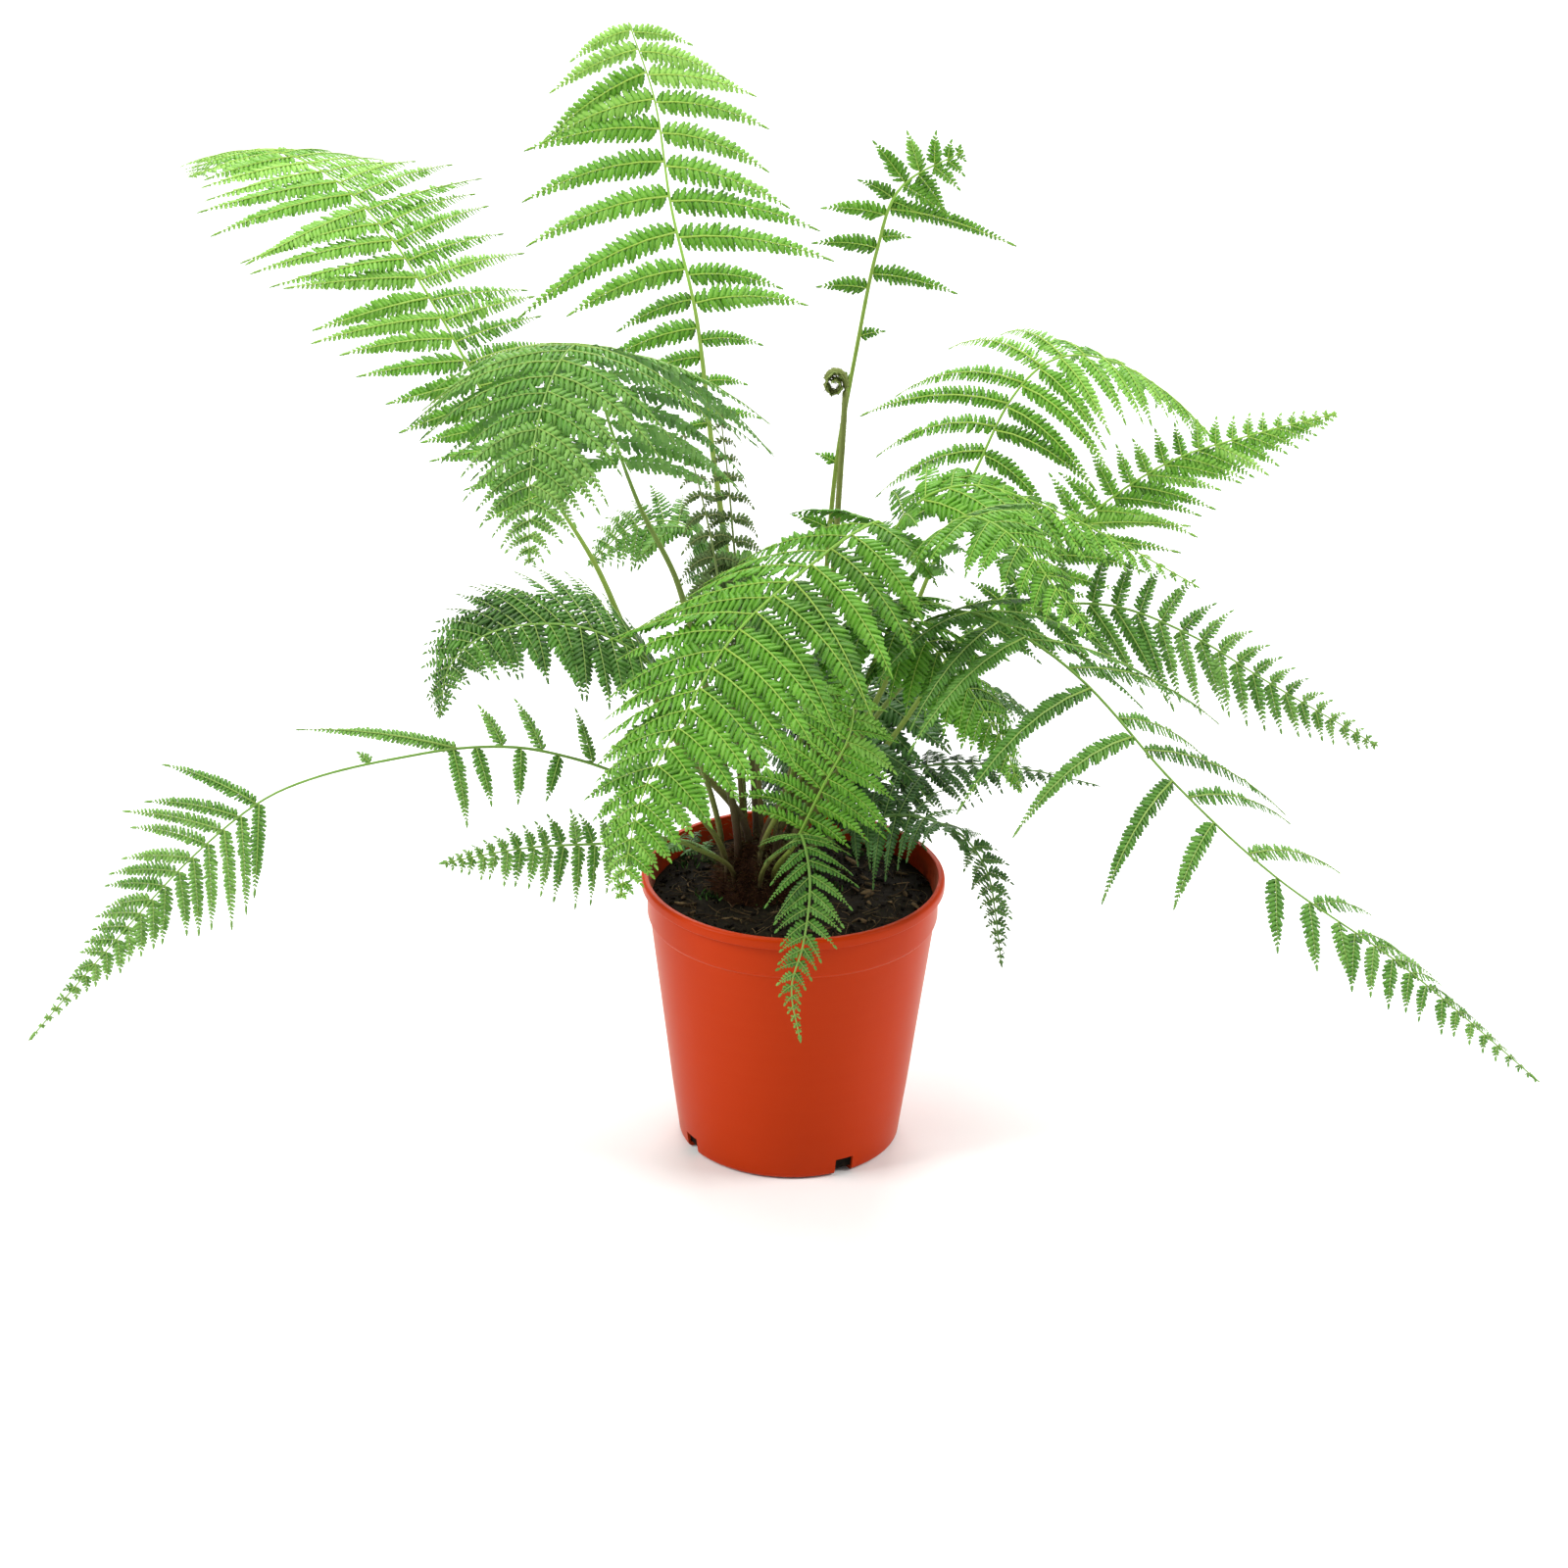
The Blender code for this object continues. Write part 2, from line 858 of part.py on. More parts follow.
class Line:
    """A smooth line that leaves its foot straight up and passes through the route's points."""

    SAMPLES = 12

    def __init__(self, foot, route):
        points = [foot, *(Vector(point) * MM for point in route)]
        slopes = [UP]
        slopes += [(after - before).normalized() for before, after in zip(points, points[2:])]
        slopes.append((points[-1] - points[-2]).normalized())
        self.points = [foot.copy()]
        for start, end, leave, arrive in zip(points, points[1:], slopes, slopes[1:]):
            span = (end - start).length
            for step in range(1, self.SAMPLES + 1):
                share = step / self.SAMPLES
                cube, square = share**3, share**2
                self.points.append(
                    start * (2 * cube - 3 * square + 1)
                    + leave * span * (cube - 2 * square + share)
                    + end * (3 * square - 2 * cube)
                    + arrive * span * (cube - square)
                )
        self.marks = [0.0]
        for before, after in zip(self.points, self.points[1:]):
            self.marks.append(self.marks[-1] + (after - before).length)
        self.length = self.marks[-1]

    def at(self, share):
        """The point and the heading at a share of the length."""
        mark = min(max(share, 0), 1) * self.length
        index = next((i for i, m in enumerate(self.marks[1:]) if m >= mark), len(self.marks) - 2)
        before, after = self.points[index], self.points[index + 1]
        part = (mark - self.marks[index]) / (self.marks[index + 1] - self.marks[index])
        return before.lerp(after, part), (after - before).normalized()


def tube(name, points, radii):
    """A closed four-sided tube through the points, as a mesh."""
    curve = bpy.data.curves.new(name, "CURVE")
    curve.dimensions = "3D"
    curve.bevel_depth = 1
    curve.bevel_resolution = 0
    curve.use_fill_caps = True
    spline = curve.splines.new("POLY")
    spline.points.add(len(points) - 1)
    for target, place, radius in zip(spline.points, points, radii):
        target.co = (*place, 1)
        target.radius = radius
    item = add_object(name, curve)
    bpy.context.view_layer.update()
    made = bpy.data.meshes.new_from_object(item.evaluated_get(bpy.context.evaluated_depsgraph_get()))
    bpy.data.objects.remove(item)
    shape = bmesh.new()
    shape.from_mesh(made)
    bmesh.ops.remove_doubles(shape, verts=shape.verts, dist=WELD)
    return mesh_of(shape, name)


def blade_width(share):
    """The outline of a pinna, as a share of its half width: broad near the foot, drawn out at the tip."""
    return min(1.0, 0.62 + 1.7 * share) * (1 - share) ** 0.75


def toothed_blade(stations, half_width, teeth, margin=0.0):
    """Corners and faces of a thin toothed blade along its stations, ribbed above and flat below.

    stations holds two (point, heading, across, up) frames for every tooth, and one for the tip.
    """
    corners, faces = [], []

    def corner(frame, along=0.0, aside=0.0, lift=0.0):
        point, heading, across, up = frame
        corners.append(point + heading * along + across * aside + up * lift)
        return len(corners) - 1

    pitch = (stations[2][0] - stations[0][0]).length if teeth else 0
    rib, notches, tips = [], {1: [], -1: []}, {1: [], -1: []}
    for tooth in range(teeth + 1):
        share = tooth / (teeth + 0.6)
        frame = stations[2 * tooth]
        rib.append(corner(frame, lift=RIB_HEIGHT * (1 - 0.35 * share) + margin))
        for side in (1, -1):
            aside = half_width * blade_width(share) * NOTCH_SHARE + margin
            notches[side].append(corner(frame, aside=side * aside, lift=-margin))
        if tooth < teeth:
            share = (tooth + 0.5) / (teeth + 0.6)
            for side in (1, -1):
                aside = half_width * blade_width(share) + 2 * margin
                tips[side].append(corner(stations[2 * tooth + 1], 0.22 * pitch, side * aside, -margin))
    end = corner(stations[-1], along=2 * margin)
    for side in (1, -1):
        notch, tip = notches[side], tips[side]
        for tooth in range(teeth):
            faces += [
                (rib[tooth], notch[tooth], tip[tooth]),
                (rib[tooth], tip[tooth], notch[tooth + 1]),
                (rib[tooth], notch[tooth + 1], rib[tooth + 1]),
                (notch[tooth], notch[tooth + 1], tip[tooth]),
            ]
        faces.append((rib[-1], notch[-1], end))
    left, right = notches[1], notches[-1]
    for tooth in range(teeth):
        faces.append((left[tooth], right[tooth], right[tooth + 1]))
        faces.append((left[tooth], right[tooth + 1], left[tooth + 1]))
    faces.append((left[-1], right[-1], end))
    faces.append((left[0], right[0], rib[0]))
    return corners, faces


def square_frame(point, heading, across):
    """A frame whose upper face looks up and to the front."""
    across = (across - heading * across.dot(heading)).normalized()
    up = across.cross(heading)
    if up.dot(Vector((0, -0.42, 0.91))) < 0:
        up = -up
    return point, heading, across, up


def drooping_stations(root, heading, across, length, droop, steps):
    """Frames along a pinna that leaves its root straight and bends down under its weight."""
    frames, point = [], root
    for step in range(steps + 1):
        bent = (heading - UP * droop * (step / steps)).normalized()
        frames.append(square_frame(point, bent, across))
        point = point + bent * (length / steps)
    return frames


def reach_share(share, peak, taper):
    """The length of a pinna at a share of the blade, as a share of the longest one."""
    if share < peak:
        return 0.5 + 0.5 * share / peak
    return ((1 - share) / (1 - peak)) ** taper


class Clearance:
    """Knows the bodies that are in place, so that a pinna can be bent clear of them."""

    def __init__(self):
        self.bodies = []

    def add(self, owner, corners, faces):
        """Put a body in place."""
        self.bodies.append((owner, BVHTree.FromPolygons(corners, faces)))

    def add_mesh(self, owner, mesh):
        """Put a mesh in place."""
        self.add(owner, [v.co.copy() for v in mesh.vertices], [tuple(p.vertices) for p in mesh.polygons])

    def is_clear(self, owner, corners, faces):
        """Whether a body of this owner would cross nobody else's."""
        tree = BVHTree.FromPolygons(corners, faces)
        return not any(name != owner and tree.overlap(other) for name, other in self.bodies)


class FrondBuilder:
    """Builds one frond: first its stalk with the toothed tip, then its pinnae."""

    def __init__(self, frond, finish):
        self.frond = frond
        self.finish = finish
        self.line = Line(foot_place(frond.foot), frond.route)
        self.tip_share = 1 - min(0.3, 1.5 * PINNA_SPACING / self.line.length)
        self.stalk_end = self.tip_share + 0.01
        self.stalk_pieces = max(5, round(self.line.length / STALK_SAMPLE))

    def frame(self, share):
        """The frame of the blade at a share of the route, on the straight pieces of the stalk."""
        point, heading = self.line.at(share)
        if share < self.stalk_end:
            piece = int(share / self.stalk_end * self.stalk_pieces)
            ends = [self.stalk_end * (piece + end) / self.stalk_pieces for end in (0, 1)]
            start, end = (self.line.at(mark)[0] for mark in ends)
            point = start.lerp(end, (share - ends[0]) / (ends[1] - ends[0]))
        base, tip = (Vector(side) for side in self.frond.across)
        along = max(0, (share - self.frond.blade) / (1 - self.frond.blade))
        return square_frame(point, heading, base.lerp(tip, along).normalized())

    def radius(self, share):
        """The stalk's radius, which thins toward the blade and along it."""
        stalk = self.frond.stalk * MM
        if share < self.frond.blade:
            return stalk + (RACHIS_RADIUS - stalk) * (share / self.frond.blade) ** 1.5
        along = (share - self.frond.blade) / (1 - self.frond.blade)
        return RACHIS_RADIUS + (TIP_RADIUS - RACHIS_RADIUS) * along

    def stalk_mesh(self):
        """The stalk from the bottom of its socket to where the toothed tip takes over."""
        foot = self.line.points[0]
        shares = [self.stalk_end * step / self.stalk_pieces for step in range(self.stalk_pieces + 1)]
        points = [foot - UP * SOCKET_DEPTH] + [self.line.at(share)[0] for share in shares]
        return tube(self.frond.name, points, [self.radius(0)] + [self.radius(share) for share in shares])

    def tip_blade(self, margin=0.0):
        """The toothed tip that ends the frond."""
        teeth = 3
        steps = 2 * teeth + 1
        frames = [self.frame(self.tip_share + (1 - self.tip_share) * i / steps) for i in range(steps + 1)]
        return toothed_blade(frames, self.frond.reach * MM * 0.09 + 2.5 * MM, teeth, margin)

    def blade_of(self, pinna, bend, margin=0.0):
        """The corners and faces of one pinna, bent by a lift, a sweep and a share of its length."""
        lift, sweep, shortened = bend
        point, heading, across, up = self.frame(pinna.share)
        angle = math.radians(pinna.angle + sweep)
        out = heading * math.cos(angle) + across * pinna.side * math.sin(angle)
        out = out * math.cos(math.radians(lift)) + up * math.sin(math.radians(lift))
        length = pinna.length * shortened
        teeth = min(MOST_TEETH, max(1, round(length / TOOTH_PITCH)))
        root = point + up * pinna.side * ROOT_LIFT
        frames = drooping_stations(root, out, heading, length, self.frond.droop, 2 * teeth + 1)
        return toothed_blade(frames, length * BLADE_SHARE + BLADE_LEAST, teeth, margin)

    def pinnae(self):
        """Every pinna: those that follow the blade's outline, and the single ones."""
        frond = self.frond
        start, end = frond.blade, self.tip_share
        count = max(2, round((end - start) * self.line.length / PINNA_SPACING))
        for index in range(count):
            for side, late in ((1, 0.0), (-1, STAGGER / self.line.length)):
                share = start + (end - start) * (index + 0.35) / count + late
                if frond.bare[0] < share < frond.bare[1]:
                    continue
                along = (share - start) / (1 - start)
                first, last = (sweep + side * skew for sweep, skew in zip(frond.sweep, frond.skew))
                full = frond.reach * MM * reach_share(along, frond.peak, frond.taper)
                yield Pinna(share, side, full * frond.sides[side < 0], first + (last - first) * along)
        for share, side, length, angle in frond.singles:
            yield Pinna(share, side, length * MM, angle)

    def build(self, clearance):
        """Join every pinna that fits to the stalk, as one solid."""
        stalk = add_object(self.frond.name, self.stalk, self.finish)
        repeats = [self.tip_blade()]
        for pinna in self.pinnae():
            for bend in BENDS:
                if clearance.is_clear(self.frond.name, *self.blade_of(pinna, bend, BEND_CLEAR)):
                    repeats.append(self.blade_of(pinna, bend))
                    break
        joined = []
        for corners, faces in repeats:
            clearance.add(self.frond.name, corners, faces)
            shape = bmesh.new()
            made = [shape.verts.new(corner) for corner in corners]
            for face in faces:
                shape.faces.new([made[index] for index in face])
            joined.append(add_object("pinna", mesh_of(shape, "pinna")))
        boolean(stalk, joined, "UNION")

    def prepare(self, clearance):
        """Put the stalk and the tip in place before any pinna is bent clear of them."""
        self.stalk = self.stalk_mesh()
        clearance.add_mesh(self.frond.name, self.stalk)
        clearance.add(self.frond.name, *self.tip_blade())


def build_crozier(finish):
    """The hairy young frond that is still rolled up: a stalk that ends in a coil."""
    line = Line(foot_place(CROZIER_FOOT), CROZIER_ROUTE)
    foot = line.points[0]
    count = 9
    points = [foot - UP * SOCKET_DEPTH] + [line.at(step / count)[0] for step in range(count + 1)]
    radii = [CROZIER_STALK * MM] * len(points)
    middle = points[-1] + Vector((-CROZIER_COIL, 0, 0))
    steps = round(CROZIER_TURNS * 11)
    for step in range(1, steps + 1):
        share = step / steps
        angle = share * CROZIER_TURNS * 2 * math.pi
        radius = CROZIER_COIL + (CROZIER_EYE - CROZIER_COIL) * share
        points.append(middle + Vector((math.cos(angle), 0, math.sin(angle))) * radius)
        radii.append(CROZIER_STALK * MM + (CROZIER_END - CROZIER_STALK * MM) * share)
    return add_object("crozier", tube("crozier", points, radii), finish)


def main():
    """Build the pot, the peat, the crown and every frond."""
    remove_start_objects()
    terracotta = material("terracotta_plastic", (0.55, 0.09, 0.02), 0.4)
    soil = material("peat", (0.02, 0.014, 0.01), 0.95)
    root = material("hairy_root", (0.11, 0.035, 0.015), 0.9)
    young = material("young_frond", (0.12, 0.10, 0.03), 0.8)
    greens = {shade: material(shade.name, shade.colour, 0.6) for shade in (FRESH, MATURE, SHADED, WITHERED)}

    pot = build_pot(terracotta)
    stems = [(frond.foot, frond.stalk * MM) for frond in FRONDS] + [(CROZIER_FOOT, CROZIER_STALK * MM)]
    peat = build_peat(soil)
    crown = build_crown(root, [socket_cutter(foot, radius) for foot, radius in stems])
    crozier = build_crozier(young)

    clearance = Clearance()
    for body in (pot, peat, crown, crozier):
        clearance.add_mesh(body.name, body.data)
    builders = [FrondBuilder(frond, greens[frond.shade]) for frond in FRONDS]
    for builder in builders:
        builder.prepare(clearance)
    for builder in builders:
        builder.build(clearance)
    for item in (pot, peat, crown):
        item.data.shade_smooth()
        item.data.set_sharp_from_angle(angle=math.radians(35))


main()
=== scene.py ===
"""A young soft tree fern in its plastic nursery pot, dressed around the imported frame.

Metres, +Z up, the origin in the middle of the pot's base, -Y the front. Every frond follows the line that its
solid follows. Leaflets, stems, hairs and crumbs are each modelled once, and every piece repeats them.
"""

from __future__ import annotations

import logging
import math
import random
from collections.abc import Callable
from dataclasses import dataclass, field, replace
from enum import Enum

import bpy
import numpy as np
from mathutils import Matrix, Vector, noise
from mathutils.bvhtree import BVHTree

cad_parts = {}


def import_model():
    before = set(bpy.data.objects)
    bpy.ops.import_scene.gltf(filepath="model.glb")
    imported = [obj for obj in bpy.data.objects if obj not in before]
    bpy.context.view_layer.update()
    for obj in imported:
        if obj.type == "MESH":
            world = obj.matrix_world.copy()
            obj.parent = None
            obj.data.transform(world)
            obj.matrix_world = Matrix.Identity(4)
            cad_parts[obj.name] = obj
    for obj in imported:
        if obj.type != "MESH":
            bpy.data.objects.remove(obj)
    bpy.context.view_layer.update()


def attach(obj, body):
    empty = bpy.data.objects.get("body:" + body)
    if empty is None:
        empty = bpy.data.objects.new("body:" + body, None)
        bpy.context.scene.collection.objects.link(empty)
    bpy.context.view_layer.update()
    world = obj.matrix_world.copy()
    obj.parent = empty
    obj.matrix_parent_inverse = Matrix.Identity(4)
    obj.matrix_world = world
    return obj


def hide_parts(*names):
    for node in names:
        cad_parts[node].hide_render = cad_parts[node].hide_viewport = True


log = logging.getLogger("tree_fern")

MM = 0.001
UP = np.array((0.0, 0.0, 1.0))
FACING = np.array((0.0, -0.42, 0.91))
BODY = "root"
PAINT = "paint"

Pair = tuple[float, float]
Triple = tuple[float, float, float]
Colour = Triple
Numbers = np.ndarray


class Green(Enum):
    """The record's material slots for the fronds."""

    YOUNG = "young_frond"
    FRESH = "fresh_green"
    MATURE = "mature_green"
    # painted shade: SHADED is a darker copy of the frond green, for the low and back fronds that lie in the
    # shadow of the others
    SHADED = "shaded_green"
    WITHERED = "withered_green"


# Shader


class Socket:
    """A shader socket that takes part in Python expressions on values."""

    def __init__(self, shader: Shader, output: bpy.types.NodeSocket) -> None:
        """Keep the socket and the shader that it belongs to."""
        self.shader = shader
        self.output = output

    def _maths(self, operation: str, *values: Socket | float) -> Socket:
        """Add one Math node on the values."""
        return self.shader.node("ShaderNodeMath", {"operation": operation}, dict(enumerate(values)))

    def __add__(self, other: Socket | float) -> Socket:
        """The sum."""
        return self._maths("ADD", self, other)

    __radd__ = __add__

    def __mul__(self, other: Socket | float) -> Socket:
        """The product."""
        return self._maths("MULTIPLY", self, other)

    __rmul__ = __mul__

    def __sub__(self, other: Socket | float) -> Socket:
        """The difference."""
        return self._maths("SUBTRACT", self, other)

    def __rsub__(self, other: Socket | float) -> Socket:
        """The difference, from a number."""
        return self._maths("SUBTRACT", other, self)

    def __pow__(self, other: float) -> Socket:
        """The power."""
        return self._maths("POWER", self, other)


class Shader:
    """One material's node tree around its Principled shader."""

    def __init__(self, name: str) -> None:
        """Start an empty material.

        Args:
            name: the material's name.
        """
        self.material = bpy.data.materials.new(name)
        self.material.use_nodes = True
        self.tree = self.material.node_tree
        self.surface = self.tree.nodes["Principled BSDF"]

    def node(
        self, kind: str, settings: dict | None = None, inputs: dict | None = None, out: str | int = 0
    ) -> Socket:
        """Add any node.

        Args:
            kind: the node's type.
            settings: what is set on the node, with a ramp's stops under "stops".
            inputs: a value or a Socket for each input, by name or number.
            out: the output that is wanted.

        Returns:
            The wrapped output.
        """
        made = self.tree.nodes.new(kind)
        for key, value in (settings or {}).items():
            if key == "stops":
                self._set_stops(made.color_ramp, value)
            else:
                setattr(made, key, value)
        for key, value in (inputs or {}).items():
            self.feed(made.inputs[key], value)
        return Socket(self, made.outputs[out])

    @staticmethod
    def _set_stops(ramp: bpy.types.ColorRamp, stops: tuple[tuple[float, Colour], ...]) -> None:
        """Give a colour ramp its stops.

        Args:
            ramp: the ramp.
            stops: the place and the colour of each stop.
        """
        while len(ramp.elements) < len(stops):
            ramp.elements.new(1.0)
        for element, (place, colour) in zip(ramp.elements, stops):
            element.position = place
            element.color = (*colour, 1.0)

    def feed(self, target: bpy.types.NodeSocket, value: Socket | float | Colour) -> None:
        """Link a Socket to an input, or set the input's value.

        Args:
            target: the input.
            value: a Socket, a number or a colour.
        """
        if isinstance(value, Socket):
            self.tree.links.new(value.output, target)
        elif isinstance(value, tuple) and target.type == "RGBA" and len(value) == 3:
            target.default_value = (*value, 1.0)
        else:
            target.default_value = value

    def set(self, **values: Socket | float | Colour) -> None:
        """Feed the Principled shader's inputs, each named with _ for a space."""
        for key, value in values.items():
            self.feed(self.surface.inputs[key.replace("_", " ")], value)

    def place(self) -> Socket:
        """Object coordinates."""
        return self.node("ShaderNodeTexCoord", out="Object")

    def noise(
        self, scale: float, detail: float = 3.0, place: Socket | None = None, rough: float = 0.5
    ) -> Socket:
        """A noise between 0 and 1.

        Args:
            scale: how many features a metre.
            detail: how many octaves.
            place: the coordinates, or None for the object's own.
            rough: how strong the finer octaves are.

        Returns:
            The value.
        """
        inputs = {"Vector": place or self.place(), "Scale": scale, "Detail": detail, "Roughness": rough}
        return self.node("ShaderNodeTexNoise", inputs=inputs)

    def stretched(self, x: float, y: float, z: float) -> Socket:
        """Object coordinates that are stretched along the axes."""
        return self.node("ShaderNodeMapping", inputs={"Vector": self.place(), "Scale": (x, y, z)})

    def blend(self, share: Socket | float, first: Socket | Colour, second: Socket | Colour) -> Socket:
        """Mix two colours by a share."""
        return self.node("ShaderNodeMix", {"data_type": "RGBA"}, {0: share, 6: first, 7: second}, out=2)

    def ramp(self, share: Socket, *stops: tuple[float, Colour]) -> Socket:
        """A colour ramp over a share."""
        return self.node("ShaderNodeValToRGB", {"stops": stops}, {"Fac": share})

    def step(self, value: Socket, low: float, high: float) -> Socket:
        """0 below low, 1 above high, smooth between."""
        settings = {"interpolation_type": "SMOOTHSTEP"}
        return self.node("ShaderNodeMapRange", settings, {"Value": value, "From Min": low, "From Max": high})

    def paint(self) -> tuple[Socket, Socket, Socket]:
        """The piece's own painted attribute: tone, rib and brown.

        Returns:
            The three values.
        """
        painted = self.node("ShaderNodeAttribute", {"attribute_name": PAINT}, out="Color")
        parts = self.tree.nodes.new("ShaderNodeSeparateColor")
        self.feed(parts.inputs[0], painted)
        return tuple(Socket(self, parts.outputs[index]) for index in range(3))

    def bump(self, height: Socket, depth: float, strength: float = 1.0) -> None:
        """Feed the normal from a height, with its depth in metres."""
        inputs = {"Height": height, "Distance": depth, "Strength": strength}
        self.set(Normal=self.node("ShaderNodeBump", inputs=inputs))


@dataclass(frozen=True)
class FrondFinish:
    """Leaflets and stems: green that varies from leaflet to leaflet, with pale ribs and brown, hairy feet.

    deep, middle and light are the green from dark to pale, rib the colour of the ribs, stem and foot those of
    the stalk and of its foot, and rough the roughness.
    """

    slot: Green
    deep: Colour
    middle: Colour
    light: Colour
    rib: Colour
    stem: Colour = (0.17, 0.10, 0.025)
    foot: Colour = (0.040, 0.013, 0.004)
    rough: float = 0.5

    def make(self) -> bpy.types.Material:
        """Build the material.

        Returns:
            The material.
        """
        shader = Shader(self.slot.value + "_leaf")
        tone, rib, brown = shader.paint()
        mottle = shader.noise(260, 4)
        share = tone + (mottle - 0.5) * 0.35
        green = shader.ramp(share, (0.0, self.deep), (0.5, self.middle), (1.0, self.light))
        veins = shader.noise(2600, 2)
        green = shader.blend(shader.step(rib, 0.70, 1.0) * 0.8, green, self.rib)
        green = shader.blend(shader.step(veins, 0.45, 0.8) * 0.18, green, self.light)
        bark = shader.ramp(shader.noise(900, 3), (0.3, tuple(c * 0.55 for c in self.stem)), (0.75, self.stem))
        bark = shader.blend(shader.step(brown, 0.55, 0.95), bark, self.foot)
        shader.set(
            Base_Color=shader.blend(brown, green, bark),
            Roughness=self.rough + (mottle - 0.5) * 0.25 + brown * 0.25,
            Specular_IOR_Level=0.4,
        )
        shader.bump(veins, 0.06 * MM, 0.6)
        return shader.material


@dataclass(frozen=True)
class PlasticFinish:
    """Thin moulded plastic: an even colour with faint flow lines, scuffs and a little soil on it.

    skin and inner are how far inside the wall's outside the soil starts and is full, and damp and dry how far
    below the rim it starts to fade and ends.
    """

    name: str = "terracotta_moulded"
    colour: Colour = (0.44, 0.030, 0.0003)
    worn: Colour = (0.50, 0.055, 0.006)
    soil: Colour = (0.05, 0.022, 0.01)
    sheen: Colour = (1.0, 0.72, 0.5)
    inner: float = 1.7 * MM
    skin: float = 1.2 * MM
    damp: float = 8 * MM
    dry: float = 2 * MM

    def make(self, height: float, foot: float, taper: float) -> bpy.types.Material:
        """Build the material.

        Args:
            height: the pot's height, with no soil on the inside of its rim.
            foot: the radius of the wall's outside at the bottom.
            taper: how much wider it gets for each metre up.

        Returns:
            The material.
        """
        shader = Shader(self.name)
        lines = shader.noise(1.0, 2, shader.stretched(3, 3, 260))
        cloud = shader.noise(7, 2)
        colour = shader.blend(lines * 0.14, self.colour, self.worn)
        scuffs = shader.step(shader.noise(1.0, 5, shader.stretched(90, 90, 900), 0.7), 0.66, 0.82)
        colour = shader.blend(scuffs * 0.22, colour, self.worn)
        specks = shader.step(shader.noise(520, 3), 0.72, 0.80)
        colour = shader.blend(specks * 0.25, colour, self.soil)
        split = shader.tree.nodes.new("ShaderNodeSeparateXYZ")
        shader.feed(split.inputs[0], shader.place())
        x, y, z = (Socket(shader, split.outputs[index]) for index in range(3))
        radius = (x * x + y * y) ** 0.5
        inner = 1 - shader.step(radius - z * taper, foot - self.inner, foot - self.skin)
        inner = inner * (1 - shader.step(z, height - self.damp, height - self.dry))
        dirt = inner * shader.step(shader.noise(120, 4), 0.3, 0.62)
        colour = shader.blend(dirt * 0.4, colour, self.soil)
        shader.set(
            Base_Color=colour,
            Roughness=0.38 + (cloud - 0.5) * 0.06 + scuffs * 0.1 + dirt * 0.4,
            Specular_IOR_Level=0.08,
            Sheen_Weight=0.25,
            Sheen_Roughness=0.3,
            Sheen_Tint=self.sheen,
        )
        shader.bump(cloud, 0.05 * MM, 0.3)
        return shader.material


@dataclass(frozen=True)
class EarthFinish:
    """A rough natural surface: three shades in patches, with grit.

    grain is how many patches a metre has, and relief the depth of the bumps in millimetres.
    """

    name: str
    dark: Colour
    middle: Colour
    light: Colour
    grain: float = 420
    rough: float = 0.95
    relief: float = 0.8

    def make(self) -> bpy.types.Material:
        """Build the material.

        Returns:
            The material.
        """
        shader = Shader(self.name)
        tone = shader.paint()[0]
        patches = shader.noise(self.grain, 5, rough=0.65)
        grit = shader.noise(self.grain * 5, 2)
        share = patches * 0.7 + tone * 0.5 + grit * 0.15 - 0.2
        colour = shader.ramp(share, (0.25, self.dark), (0.5, self.middle), (0.85, self.light))
        shader.set(Base_Color=colour, Roughness=self.rough - grit * 0.12, Specular_IOR_Level=0.12)
        shader.bump(patches + grit * 0.4, self.relief * MM, 0.8)
        return shader.material


@dataclass(frozen=True)
class StudioFinish:
    """The pale floor under the plant."""

    colour: Colour = (0.93, 0.93, 0.92)
    dull: Colour = (0.86, 0.86, 0.86)

    def make(self) -> bpy.types.Material:
        """Build the material.

        Returns:
            The material.
        """
        shader = Shader("studio_floor")
        shade = shader.blend(shader.noise(3, 2) * 0.04, self.colour, self.dull)
        shader.set(Base_Color=shade, Roughness=0.9, Specular_IOR_Level=0.1)
        return shader.material


FINISHES = {
    finish.slot: finish
    for finish in (
        FrondFinish(
            Green.YOUNG,
            deep=(0.030, 0.035, 0.008),
            middle=(0.12, 0.17, 0.03),
            light=(0.26, 0.38, 0.09),
            rib=(0.22, 0.24, 0.07),
            rough=0.6,
        ),
        FrondFinish(
            Green.FRESH,
            deep=(0.016, 0.075, 0.003),
            middle=(0.100, 0.32, 0.010),
            light=(0.30, 0.58, 0.10),
            rib=(0.36, 0.52, 0.08),
        ),
        FrondFinish(
            Green.MATURE,
            deep=(0.011, 0.052, 0.004),
            middle=(0.066, 0.22, 0.014),
            light=(0.21, 0.42, 0.08),
            rib=(0.27, 0.40, 0.08),
        ),
        # Painted shade: these darker greens stand in for the shadow that the upper fronds cast on the low and
        # back ones.
        FrondFinish(
            Green.SHADED,
            deep=(0.005, 0.025, 0.004),
            middle=(0.030, 0.11, 0.012),
            light=(0.12, 0.27, 0.06),
            rib=(0.17, 0.28, 0.06),
        ),
        FrondFinish(
            Green.WITHERED,
            deep=(0.020, 0.035, 0.008),
            middle=(0.075, 0.135, 0.03),
            light=(0.15, 0.25, 0.07),
            rib=(0.20, 0.22, 0.07),
            rough=0.7,
        ),
    )
}
BARK = EarthFinish("crown_bark", (0.006, 0.002, 0.001), (0.025, 0.009, 0.003), (0.07, 0.028, 0.01), grain=300)
HAIR = EarthFinish("crown_hair", (0.015, 0.005, 0.002), (0.05, 0.018, 0.006), (0.13, 0.055, 0.02), relief=0.1)
CRUMB = EarthFinish("peat_crumb", (0.002, 0.0012, 0.0005), (0.010, 0.007, 0.003), (0.06, 0.048, 0.024))
FIBRE = EarthFinish("peat_fibre", (0.02, 0.012, 0.005), (0.07, 0.045, 0.02), (0.20, 0.14, 0.07), relief=0.1)
